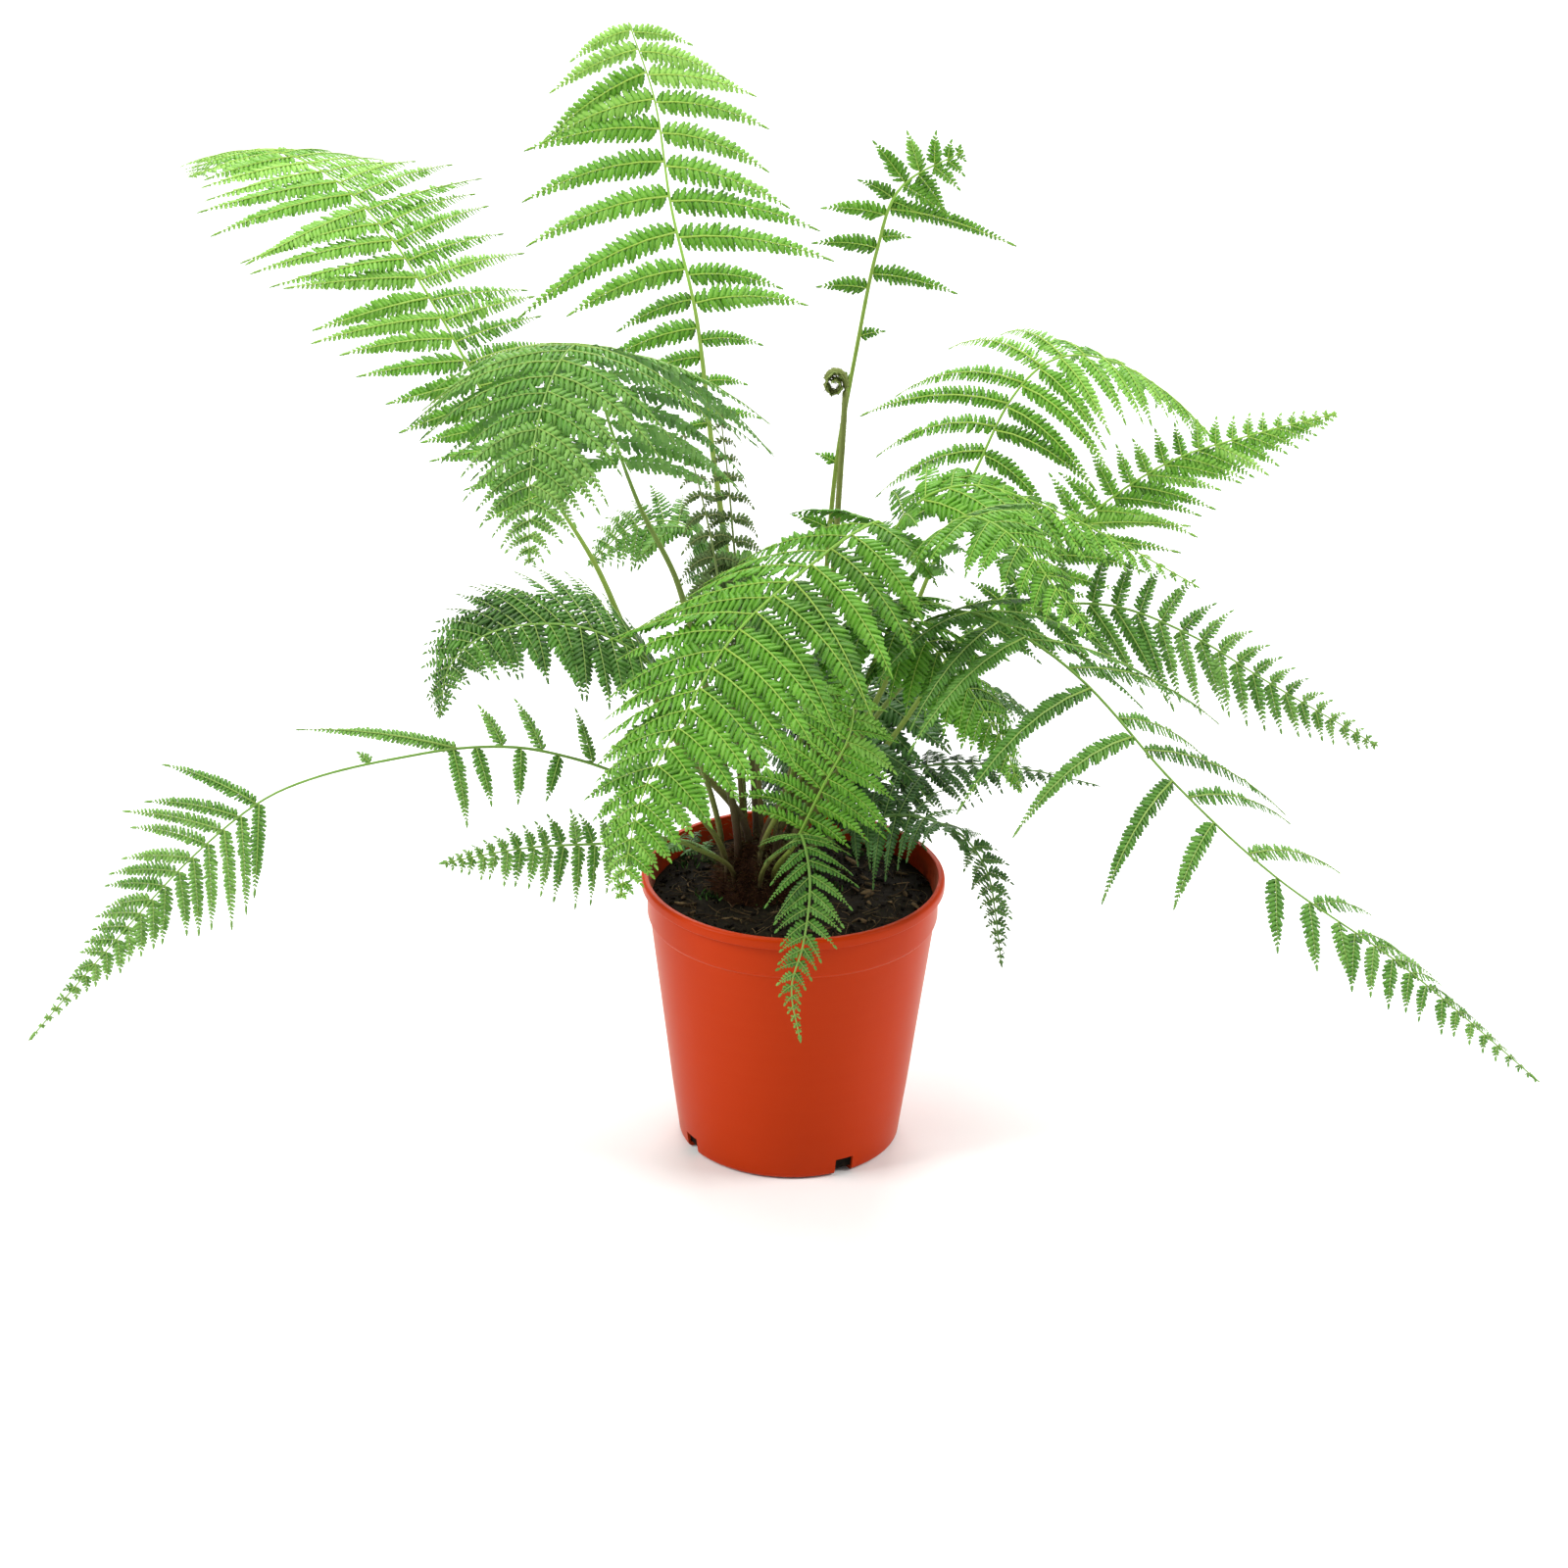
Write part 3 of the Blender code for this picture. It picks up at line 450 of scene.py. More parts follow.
MOSS = EarthFinish("peat_moss", (0.006, 0.02, 0.003), (0.02, 0.06, 0.010), (0.07, 0.16, 0.03), relief=0.1)


# Modelling


def select_none() -> None:
    """Deselect everything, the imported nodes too."""
    for item in bpy.context.selected_objects:
        item.select_set(False)
    bpy.context.view_layer.objects.active = None


class Bench:
    """Models a shape in edit mode from a primitive."""

    def __init__(self, add: str, **settings: object) -> None:
        """Add a primitive.

        Args:
            add: the primitive's name in bpy.ops.mesh.
            settings: what the operator takes.
        """
        select_none()
        getattr(bpy.ops.mesh, f"primitive_{add}_add")(**settings)
        self.item = bpy.context.object
        bpy.ops.object.transform_apply(location=True, rotation=True, scale=True)

    def pick_edges(self, test: Callable[[Vector, Vector], bool]) -> None:
        """Select the edges whose two ends pass a test, in edit mode.

        Args:
            test: takes the two ends of an edge.
        """
        bpy.ops.object.mode_set(mode="EDIT")
        bpy.ops.mesh.select_mode(type="EDGE")
        bpy.ops.mesh.select_all(action="DESELECT")
        bpy.ops.object.mode_set(mode="OBJECT")
        mesh = self.item.data
        for edge in mesh.edges:
            edge.select = test(*(mesh.vertices[index].co for index in edge.vertices))
        bpy.ops.object.mode_set(mode="EDIT")

    def shape(self, rule: Callable[[Vector], Vector]) -> None:
        """Move every corner by a rule that takes its place and gives the new one."""
        bpy.ops.object.mode_set(mode="OBJECT")
        for vertex in self.item.data.vertices:
            vertex.co = rule(vertex.co.copy())

    def close(self) -> bpy.types.Object:
        """Merge doubles, turn the faces out and leave edit mode.

        Returns:
            The object.
        """
        bpy.ops.object.mode_set(mode="EDIT")
        bpy.ops.mesh.select_all(action="SELECT")
        bpy.ops.mesh.remove_doubles(threshold=1e-6)
        bpy.ops.mesh.normals_make_consistent(inside=False)
        bpy.ops.object.mode_set(mode="OBJECT")
        if self._volume() < 0:
            self.item.data.flip_normals()
        return self.item

    def _volume(self) -> float:
        """The volume inside the faces, below zero where they point inwards.

        Returns:
            The volume.
        """
        mesh = self.item.data
        total = 0.0
        for face in mesh.polygons:
            first, *others = (mesh.vertices[index].co for index in face.vertices)
            total += sum(first.dot(one.cross(other)) for one, other in zip(others, others[1:]))
        return total / 6


@dataclass
class Pattern:
    """A small shape that is repeated.

    It has its corners, the corners and the size of each face, which faces are flat, and the rib paint.
    """

    corners: Numbers
    loops: Numbers
    sizes: Numbers
    flat: Numbers
    rib: Numbers

    @classmethod
    def take(
        cls,
        item: bpy.types.Object,
        rib: Callable[[Numbers], float] | None = None,
        flat: Callable[[Vector], bool] | None = None,
    ) -> Pattern:
        """Read a pattern from a modelled object, and remove the object.

        Args:
            item: the modelled object.
            rib: takes a corner's place and gives its nearness to the rib, or None for none.
            flat: takes a face's normal and tells whether it is shaded flat, or None for smooth.

        Returns:
            The pattern.
        """
        mesh = item.data
        corners = np.array([vertex.co[:] for vertex in mesh.vertices])
        loops = np.array([loop.vertex_index for loop in mesh.loops])
        sizes = np.array([face.loop_total for face in mesh.polygons])
        flats = np.array([bool(flat and flat(face.normal)) for face in mesh.polygons])
        ribs = np.array([rib(corner) if rib else 0.0 for corner in corners])
        bpy.data.objects.remove(item)
        return cls(corners, loops, sizes, flats, ribs)


class Thicket:
    """Gathers placed copies of patterns and makes one mesh of them."""

    def __init__(self) -> None:
        """Start with nothing."""
        self.points: list[Numbers] = []
        self.paints: list[Numbers] = []
        self.loops: list[Numbers] = []
        self.sizes: list[Numbers] = []
        self.flats: list[Numbers] = []
        self.count = 0

    def add(
        self,
        pattern: Pattern,
        points: Numbers,
        tone: Numbers,
        brown: Numbers | float = 0.0,
        rib: Numbers | None = None,
    ) -> None:
        """Put copies in place.

        Args:
            pattern: what is copied.
            points: the corners of every copy, copies x corners x 3.
            tone: the tone of every copy, or of every corner of every copy.
            brown: how brown it is, in the same form.
            rib: the rib paint in the same form, or None for the pattern's own.
        """
        copies, corners = points.shape[:2]
        paint = np.ones((copies, corners, 4))
        layers = (tone, pattern.rib[None, :] if rib is None else rib, brown)
        for index, layer in enumerate(layers):
            layer = np.asarray(layer, float)
            paint[:, :, index] = layer[:, None] if layer.ndim == 1 else layer
        starts = self.count + corners * np.arange(copies)
        self.points.append(points.reshape(-1, 3))
        self.paints.append(paint.reshape(-1, 4))
        self.loops.append((pattern.loops[None, :] + starts[:, None]).ravel())
        self.sizes.append(np.tile(pattern.sizes, copies))
        self.flats.append(np.tile(pattern.flat, copies))
        self.count += copies * corners

    def scatter(
        self,
        pattern: Pattern,
        roots: Numbers,
        along: Numbers,
        across: Numbers,
        sizes: Numbers,
        tone: Numbers,
        brown: Numbers | float = 0.0,
        up: Numbers | None = None,
    ) -> None:
        """Put copies of a pattern in place by their directions.

        Args:
            pattern: it lies along +X.
            roots: where each copy starts.
            along: where each copy points.
            across: its side.
            sizes: the length, width and height of each copy.
            tone: how light each copy is.
            brown: how brown each copy is.
            up: its upper face, or None where along and across give it.
        """
        up = np.cross(along, across) if up is None else up
        x, y, z = (pattern.corners[None, :, axis, None] for axis in range(3))
        length, width, height = (sizes[:, None, axis, None] for axis in range(3))
        points = (
            roots[:, None]
            + along[:, None] * x * length
            + across[:, None] * y * width
            + up[:, None] * z * height
        )
        self.add(pattern, points, tone, brown)

    def make(self, name: str, finish: bpy.types.Material) -> bpy.types.Object:
        """Make the mesh.

        Args:
            name: the object's name.
            finish: its material.

        Returns:
            The object.
        """
        points, loops, sizes = (np.concatenate(part) for part in (self.points, self.loops, self.sizes))
        mesh = bpy.data.meshes.new(name)
        mesh.vertices.add(len(points))
        mesh.vertices.foreach_set("co", points.ravel())
        mesh.loops.add(len(loops))
        mesh.loops.foreach_set("vertex_index", loops.astype(np.int32))
        mesh.polygons.add(len(sizes))
        starts = np.concatenate(([0], np.cumsum(sizes)[:-1]))
        mesh.polygons.foreach_set("loop_start", starts.astype(np.int32))
        mesh.polygons.foreach_set("use_smooth", ~np.concatenate(self.flats))
        mesh.update(calc_edges=True)
        mesh.validate()
        layer = mesh.attributes.new(PAINT, "FLOAT_COLOR", "POINT")
        layer.data.foreach_set("color", np.clip(np.concatenate(self.paints), 0, 1).ravel().astype(np.float32))
        mesh.materials.append(finish)
        item = bpy.data.objects.new(name, mesh)
        bpy.context.scene.collection.objects.link(item)
        return item


def unit(vectors: Numbers) -> Numbers:
    """The vectors at length 1."""
    return vectors / np.maximum(np.linalg.norm(vectors, axis=-1, keepdims=True), 1e-9)


def steps_of(points: Numbers) -> Numbers:
    """The lengths of a line's steps."""
    return np.linalg.norm(np.diff(points, axis=0), axis=1)


def marks_of(points: Numbers) -> Numbers:
    """How far along a line each of its points is."""
    return np.concatenate(([0], np.cumsum(steps_of(points))))


def tilted(vectors: Numbers, toward: Numbers, degrees: Numbers | float) -> Numbers:
    """Turn vectors toward others that are square to them."""
    angle = np.radians(degrees)
    cos, sin = (np.asarray(part)[..., None] for part in (np.cos(angle), np.sin(angle)))
    return vectors * cos + toward * sin


@dataclass
class Rail:
    """A line in space with a square frame at each of its points."""

    points: Numbers
    headings: Numbers
    across: Numbers
    ups: Numbers
    shares: Numbers

    @classmethod
    def square(cls, points: Numbers, headings: Numbers, across: Numbers) -> Rail:
        """Frames whose upper side looks up and to the front.

        Args:
            points: the line's points.
            headings: where the line goes at each of them.
            across: roughly where one side of the blade points, in one vector or one for each point.

        Returns:
            The rail.
        """
        across = unit(across - headings * np.sum(across * headings, axis=1, keepdims=True))
        ups = np.cross(across, headings)
        ups *= np.where(ups @ FACING < 0, -1.0, 1.0)[:, None]
        marks = marks_of(points)
        return cls(points, headings, across, ups, marks / marks[-1])

    @classmethod
    def through(cls, points: Numbers, across: Numbers) -> Rail:
        """The rail through points, with its headings taken from them, and across as for square."""
        return cls.square(points, unit(np.gradient(points, axis=0)), across)

    def rolled(self, angles: Numbers) -> Rail:
        """The same line with its frames turned about it.

        Args:
            angles: how far at each point, in degrees, points x 1.

        Returns:
            The rail.
        """
        turn = np.radians(angles)
        across = self.across * np.cos(turn) + self.ups * np.sin(turn)
        ups = self.ups * np.cos(turn) - self.across * np.sin(turn)
        return replace(self, across=across, ups=ups)

    def raised(self, height: float) -> Rail:
        """The same line a little above itself."""
        return replace(self, points=self.points + self.ups * height)

    @property
    def length(self) -> float:
        """The line's length."""
        return float(steps_of(self.points).sum())

    def at(self, shares: Numbers) -> tuple[Numbers, Numbers, Numbers, Numbers]:
        """The points and frames at shares of the length.

        Args:
            shares: from 0 to 1.

        Returns:
            Points, headings, across and ups.
        """
        point, heading, across, up = (
            np.stack([np.interp(shares, self.shares, part[:, axis]) for axis in range(3)], axis=-1)
            for part in (self.points, self.headings, self.across, self.ups)
        )
        return point, unit(heading), unit(across), unit(up)

    def bend(self, pattern: Pattern, radii: Numbers, wobble: float = 0.0) -> Numbers:
        """Bend a straight pattern of length 1 along the line.

        Args:
            pattern: it lies along +X, and Y and Z are its width and height.
            radii: the pattern's size at each of the line's points.
            wobble: how uneven the radius is, as a share of it.

        Returns:
            The corners, 1 x corners x 3.
        """
        shares = pattern.corners[:, 0]
        point, _, across, up = self.at(shares)
        radius = np.interp(shares, self.shares, radii)
        if wobble:
            radius = radius * (1 + wobble * np.sin(shares * 190) * np.sin(shares * 71 + 1))
        aside, above = pattern.corners[:, 1:2], pattern.corners[:, 2:3]
        return (point + (across * aside + up * above) * radius[:, None])[None]


def smooth_line(foot: Numbers, route: tuple[Triple, ...], samples: int = 12) -> Numbers:
    """A smooth line that leaves its foot straight up and passes through the route's points.

    Args:
        foot: where it starts, in metres.
        route: the points, in millimetres.
        samples: how many steps each stretch has.

    Returns:
        The points.
    """
    points = [foot, *(np.array(point) * MM for point in route)]
    slopes = [UP, *(unit(after - before) for before, after in zip(points, points[2:]))]
    slopes.append(unit(points[-1] - points[-2]))
    share = (np.arange(1, samples + 1) / samples)[:, None]
    cube, square = share**3, share**2
    line = [points[0][None]]
    for start, end, leave, arrive in zip(points, points[1:], slopes, slopes[1:]):
        span = np.linalg.norm(end - start)
        line.append(
            start * (2 * cube - 3 * square + 1)
            + leave * span * (cube - 2 * square + share)
            + end * (3 * square - 2 * cube)
            + arrive * span * (cube - square)
        )
    return np.concatenate(line)


@dataclass(frozen=True)
class Patterns:
    """The shapes that are repeated, each modelled once. The leaflets go by how many teeth each side has."""

    leaflets: dict[int, Pattern]
    rachis: Pattern
    costa: Pattern
    hair: Pattern
    crumb: Pattern

    TEETH = (4, 3, 2)
    VALLEY = 0.385
    RIB_PAINT = 0.85

    @classmethod
    def model(cls) -> Patterns:
        """Model every pattern."""
        leaflets = {teeth: cls._leaflet(teeth) for teeth in cls.TEETH}
        return cls(leaflets, cls.stem(8, 80), cls.stem(4, 6), cls.stem(3, 2), cls._crumb())

    @classmethod
    def _leaflet(cls, teeth: int) -> Pattern:
        """A toothed leaflet, 1 long along +X and 1 wide, ridged above and closed below.

        Args:
            teeth: how many teeth each side has.

        Returns:
            The pattern.
        """
        bench = Bench("grid", x_subdivisions=teeth, y_subdivisions=2, size=1, location=(0.5, 0, 0))
        bench.pick_edges(lambda a, b: abs(a.y) > 0.4 and abs(b.y) > 0.4 and a.y * b.y > 0)
        bpy.ops.mesh.subdivide(number_cuts=1)

        def cut(corner: Vector) -> Vector:
            """Shape the outline, its teeth, the raised rib and the drooping edges.

            Args:
                corner: a corner of the grid.

            Returns:
                Its place on the leaflet.
            """
            share = corner.x
            width = min(1.0, 0.86 + 1.2 * share) * (1 - share**2.8) ** 0.8
            if abs(corner.y) < 0.1:
                return Vector((share, 0, 0.06 - 0.10 * share**2))
            is_tooth = abs(share * teeth - round(share * teeth)) > 0.2
            reach = width * (0.5 if is_tooth else cls.VALLEY)
            along = share + (0.30 / teeth if is_tooth else 0.0)
            sag = -0.03 - 0.12 * share**2 - (0.03 if is_tooth else 0.0)
            return Vector((min(along, 0.97), math.copysign(reach, corner.y), sag))

        bench.shape(cut)
        bpy.ops.object.mode_set(mode="EDIT")
        bpy.ops.mesh.select_all(action="SELECT")
        bpy.ops.mesh.remove_doubles(threshold=0.05 / teeth)
        bpy.ops.mesh.select_mode(type="EDGE")
        bpy.ops.mesh.select_all(action="DESELECT")
        bpy.ops.mesh.select_non_manifold(extend=False)
        bpy.ops.mesh.edge_face_add()
        return Pattern.take(
            bench.close(),
            rib=lambda corner: cls.RIB_PAINT * float(abs(corner[1]) < 0.01),
            flat=lambda normal: normal.z < 0,
        )

    @staticmethod
    def stem(sides: int, rings: int) -> Pattern:
        """A straight stem, 1 long along +X, with a radius of 1.

        Args:
            sides: how many sides it has.
            rings: how many lengths it is cut in.

        Returns:
            The pattern.
        """
        lying = (0, math.pi / 2, 0)
        bench = Bench("cylinder", vertices=sides, radius=1, depth=1, rotation=lying, location=(0.5, 0, 0))
        bench.pick_edges(lambda a, b: abs(a.x - b.x) > 0.5)
        bpy.ops.mesh.subdivide(number_cuts=rings - 1)
        return Pattern.take(bench.close(), flat=lambda normal: abs(normal.x) > 0.9)

    @staticmethod
    def _crumb() -> Pattern:
        """A crumb of peat, about 2 across."""
        bench = Bench("ico_sphere", subdivisions=1, radius=1)
        bench.shape(lambda corner: corner * (0.75 + 0.5 * noise.noise(corner * 2.3 + Vector((5, 2, 9)))))
        return Pattern.take(bench.close(), flat=lambda normal: True)


class Clearance:
    """Knows the stems and blades that are in place, so that a pinna can be bent clear of them."""

    def __init__(self) -> None:
        """Start with nothing in place."""
        self.owners: list[str] = []
        self.trees: list[BVHTree] = []
        self.lows: list[Numbers] = []
        self.highs: list[Numbers] = []

    @staticmethod
    def shell(rail: Rail, widths: Numbers, thick: float) -> tuple[Numbers, list[tuple[int, int, int, int]]]:
        """The simple outer shape of a blade or a stem.

        Args:
            rail: its line.
            widths: its half width at every point of the line.
            thick: its half thickness.

        Returns:
            Corners and faces.
        """
        aside = rail.across * widths[:, None]
        above = rail.ups * thick
        rings = rail.points[:, None] + np.stack((aside, above, -aside, -above), axis=1)
        faces = []
        for ring in range(len(widths) - 1):
            for side in range(4):
                here, there = 4 * ring + side, 4 * ring + (side + 1) % 4
                faces.append((here, there, there + 4, here + 4))
        return rings.reshape(-1, 3), faces

    def add(self, owner: str, corners: Numbers, faces: list[tuple[int, ...]]) -> None:
        """Put a shape in place.

        Args:
            owner: the frond that it belongs to.
            corners: its corners.
            faces: the corners of each face.
        """
        self.owners.append(owner)
        self.trees.append(BVHTree.FromPolygons(corners.tolist(), faces))
        self.lows.append(corners.min(axis=0))
        self.highs.append(corners.max(axis=0))

    def is_clear(self, owner: str, corners: Numbers, faces: list[tuple[int, ...]]) -> bool:
        """Whether a shape of this owner would cross nobody else's.

        Args:
            owner: the frond that it belongs to.
            corners: its corners.
            faces: the corners of each face.

        Returns:
            True where it is clear.
        """
        low, high = corners.min(axis=0), corners.max(axis=0)
        near = np.all((np.array(self.lows) <= high) & (np.array(self.highs) >= low), axis=1)
        tree = BVHTree.FromPolygons(corners.tolist(), faces)
        return not any(self.owners[i] != owner and tree.overlap(self.trees[i]) for i in np.flatnonzero(near))


# The pot, the peat and the crown


@dataclass
class Pot:
    """The tapered nursery pot with its rolled lip, collar and drain notches."""

    height: float = 161 * MM
    rim: float = 85 * MM
    base: float = 62.5 * MM
    collar: float = 81.5 * MM
    collar_height: float = 25 * MM
    collar_step: float = 0.8 * MM
    lip_height: float = 6 * MM
    lip_round: float = 2 * MM
    wall: float = 2 * MM
    floor: float = 2.5 * MM
    foot_round: float = 3 * MM
    notch: Triple = (18 * MM, 11 * MM, 20 * MM)
    notch_angles: tuple[float, ...] = (-60, 30, 120, 210)
    sides: int = 128

    def outside(self, height: float) -> float:
        """The radius of the outside at a height."""
        share = height / (self.height - self.collar_height)
        return self.base + (self.collar - self.collar_step * 2 - self.base) * share

    def inside(self, height: float) -> float:
        """The radius of the inside at a height."""
        return self.outside(height) - self.wall

    @staticmethod
    def arc(middle: Pair, radius: float, start: float, end: float, steps: int = 5) -> list[Pair]:
        """Points on an arc of the outline, with its angles in degrees."""
        angles = [math.radians(start + (end - start) * step / steps) for step in range(steps + 1)]
        return [(middle[0] + radius * math.cos(a), middle[1] + radius * math.sin(a)) for a in angles]

    def outline(self) -> list[Pair]:
        """The pot's outline of (radius, height), from under its floor to the top of its floor.

        Returns:
            The points.
        """
        collar = self.height - self.collar_height
        lip = self.height - self.lip_height
        small = 0.6 * MM
        inside = self.inside(self.height)
        points = [(self.base * 0.5, 0.0)]
        points += self.arc((self.base - self.foot_round, self.foot_round), self.foot_round, -90, 0)
        points += [(self.outside(h), h) for h in (0.25 * collar, 0.5 * collar, 0.75 * collar, collar - small)]
        points += self.arc((self.collar - 2 * small, collar + 2 * small), 1.4 * small, -45, 0, 3)
        points += [(self.collar - 0.1 * small, collar + 4 * small), (self.collar, lip - small)]
        points += self.arc((self.rim - small, lip + small), small, -90, 0, 3)
        corner = (self.rim - self.lip_round, self.height - self.lip_round)
        points += self.arc(corner, self.lip_round, 0, 90, 6)
        points += self.arc((inside + small, self.height - small), small, 90, 180, 3)
        points += [(self.inside(h), h) for h in (0.85 * self.height, 0.6 * self.height, 0.3 * self.height)]
        points += [(self.inside(self.floor), self.floor), (self.base * 0.5, self.floor)]
        return points

    def build(self) -> bpy.types.Object:
        """Turn the pot by extruding rings, and cut its notches.

        Returns:
            The piece.
        """
        item = turn("pot_moulded", self.outline(), self.sides)
        for angle in self.notch_angles:
            bench = Bench("cube", size=1)
            turned = Matrix.Rotation(math.radians(angle), 4, "Z") @ Matrix.Translation((self.base, 0, 0))
            place = turned @ Matrix.Diagonal((*self.notch, 1))
            bench.shape(lambda corner, place=place: place @ corner)
            cut = item.modifiers.new("notch", "BOOLEAN")
            cut.object = bench.item
            cut.operation = "DIFFERENCE"
            bpy.context.view_layer.objects.active = item
            bpy.ops.object.modifier_apply(modifier=cut.name)
            bpy.data.objects.remove(bench.item)
        select_none()
        item.select_set(True)
        bpy.context.view_layer.objects.active = item
        bpy.ops.object.shade_smooth_by_angle(angle=math.radians(30))
        taper = (self.outside(self.height) - self.base) / self.height
        item.data.materials.append(PlasticFinish().make(self.height, self.base, taper))
        return item


def paint_evenly(item: bpy.types.Object, shade: float = 0.45) -> None:
    """Give a whole mesh the same paint."""
    layer = item.data.attributes.new(PAINT, "FLOAT_COLOR", "POINT")
    layer.data.foreach_set("color", np.full(len(item.data.vertices) * 4, shade, np.float32))


def turn(name: str, outline: list[Pair], sides: int) -> bpy.types.Object:
    """Make a turned solid by extruding a ring along its outline, in edit mode.

    Args:
        name: the object's name.
        outline: (radius, height) points, with a flat face at either end.
        sides: how many sides it has.

    Returns:
        The object.
    """
    (radius, height), *rest = outline
    bench = Bench("circle", vertices=sides, radius=radius, fill_type="NGON", location=(0, 0, height))
    bench.item.name = name
    bpy.ops.object.mode_set(mode="EDIT")
    bpy.ops.mesh.select_all(action="SELECT")
    for wide, high in rest:
        bpy.ops.mesh.extrude_region_move(TRANSFORM_OT_translate={"value": (0, 0, high - height)})
        grow = wide / radius
        bpy.ops.transform.resize(value=(grow, grow, 1), center_override=(0, 0, high))
        radius, height = wide, high
    return bench.close()


@dataclass
class Peat:
    """The peat: a rough black surface with crumbs, fibres, dry scraps and a little moss on it.

    gap is what lies between it and the wall, and lift what lies between it and the floor. lumps are the
    heights of the surface's noise in millimetres, each with how many there are to a metre.
    """

    pot: Pot
    crown: Crown
    level: float = 149 * MM
    gap: float = 0.6 * MM
    lift: float = 0.3 * MM
    lumps: tuple[Pair, ...] = ((1.6, 55), (1.1, 190), (0.5, 520))
    rings: int = 56
    crumbs: int = 900
    fibres: int = 420
    tufts: int = 260
    patches: int = 9
    scraps: int = 60

    CRUMB_SEED = 5
    FIBRE_SEED = 8
    MOSS_SEED = 12
    PATCH_SEED = 31
    SCRAP_SEED = 21

    def surface(self, x: float, y: float) -> float:
        """The height of the peat at a place.

        Args:
            x: the place's x.
            y: the place's y.

        Returns:
            The height.
        """
        place = Vector((x, y, 0))
        lumps = sum(noise.noise(place * grain) * height for height, grain in self.lumps)
        away = math.hypot(x, y) / self.pot.inside(self.level)
        heap = 2.5 * math.exp(-((self.crown.distance(x, y) / (40 * MM)) ** 2))
        return self.level + (lumps + heap - 2.2 * away**6) * MM

    def build(self, patterns: Patterns) -> list[bpy.types.Object]:
        """Build the body and what lies on it.

        Args:
            patterns: the repeated shapes.

        Returns:
            The pieces.
        """
        edge, low = self.pot.inside(self.level) - self.gap, self.pot.floor + self.lift
        outline = [(self.pot.base * 0.5, low), (self.pot.inside(self.pot.floor) - self.gap, low)]
        outline.append((edge, self.level))
        for ring in range(1, self.rings):
            outline.append((edge * (1 - ring / self.rings), self.level + 0.01 * MM * ring))
        body = turn("peat_body", outline, self.pot.sides)
        for vertex in body.data.vertices:
            if vertex.co.z > self.level - 0.001 * MM:
                vertex.co.z = self.surface(vertex.co.x, vertex.co.y)
        body.data.shade_smooth()
        paint_evenly(body)
        body.data.materials.append(CRUMB.make())
        dressing = (self._crumbs, self._fibres, self._moss, self._scraps)
        return [body, *(dress(patterns) for dress in dressing)]

    def _spots(self, count: int, seed: int, spread: float = 1.0) -> Numbers:
        """Random places on the surface, off the crown.

        Args:
            count: how many.
            seed: where the random draw starts.
            spread: the share of the radius that they reach.

        Returns:
            The places.
        """
        drawn = random.Random(seed)
        spots = []
        reach = (self.pot.inside(self.level) - 2 * MM) * spread
        while len(spots) < count:
            angle, radius = drawn.uniform(0, 2 * math.pi), reach * math.sqrt(drawn.random())
            x, y = radius * math.cos(angle), radius * math.sin(angle)
            if self.crown.distance(x, y) > self.crown.radius * 0.85:
                spots.append((x, y, self.surface(x, y)))
        return np.array(spots)

    def _crumbs(self, patterns: Patterns) -> bpy.types.Object:
        """Crumbs, half sunk in the surface.

        Args:
            patterns: the repeated shapes.

        Returns:
            The piece.
        """
        drawn = np.random.default_rng(self.CRUMB_SEED)
        spots = self._spots(self.crumbs, self.CRUMB_SEED)
        sizes = 0.5 * MM + 1.7 * MM * drawn.random(self.crumbs)[:, None] ** 2.2
        sizes = sizes * (0.7 + 0.6 * drawn.random((self.crumbs, 3)))
        along = unit(drawn.normal(size=(self.crumbs, 3)))
        across = unit(np.cross(along, drawn.normal(size=(self.crumbs, 3))))
        thicket = Thicket()
        tone = drawn.random(self.crumbs) ** 2
        thicket.scatter(patterns.crumb, spots + UP * 0.4 * MM, along, across, sizes, tone)
        return thicket.make("peat_crumbs", CRUMB.make())

    def _fibres(self, patterns: Patterns) -> bpy.types.Object:
        """Bent fibres that lie on the surface and stick out of it.

        Args:
            patterns: the repeated shapes.

        Returns:
            The piece.
        """
        drawn = np.random.default_rng(self.FIBRE_SEED)
        thicket = Thicket()
        shares = np.linspace(0, 1, 5)[:, None]
        bowed = 1 - (2 * shares - 1) ** 2
        limit = self.pot.inside(self.level) - 1.5 * MM
        for spot in self._spots(self.fibres, self.FIBRE_SEED, 0.97):
            heading = unit(drawn.normal(size=3) * (1, 1, 0.28))
            side = unit(np.cross(heading, UP))
            length = (4 + 14 * drawn.random() ** 2) * MM
            bow = side * (drawn.random() - 0.5) * length * 0.5
            points = spot + UP * 0.7 * MM + heading * length * (shares - 0.5) + bow * bowed
            far = np.hypot(points[:, 0], points[:, 1])
            points[:, :2] *= np.minimum(1, limit / far)[:, None]
            radii = np.full(len(points), (0.12 + 0.25 * drawn.random() ** 3) * MM)
            fibre = Rail.through(points, side).bend(patterns.costa, radii)
            thicket.add(patterns.costa, fibre, np.array([drawn.random()]))
        return thicket.make("peat_fibres", FIBRE.make())

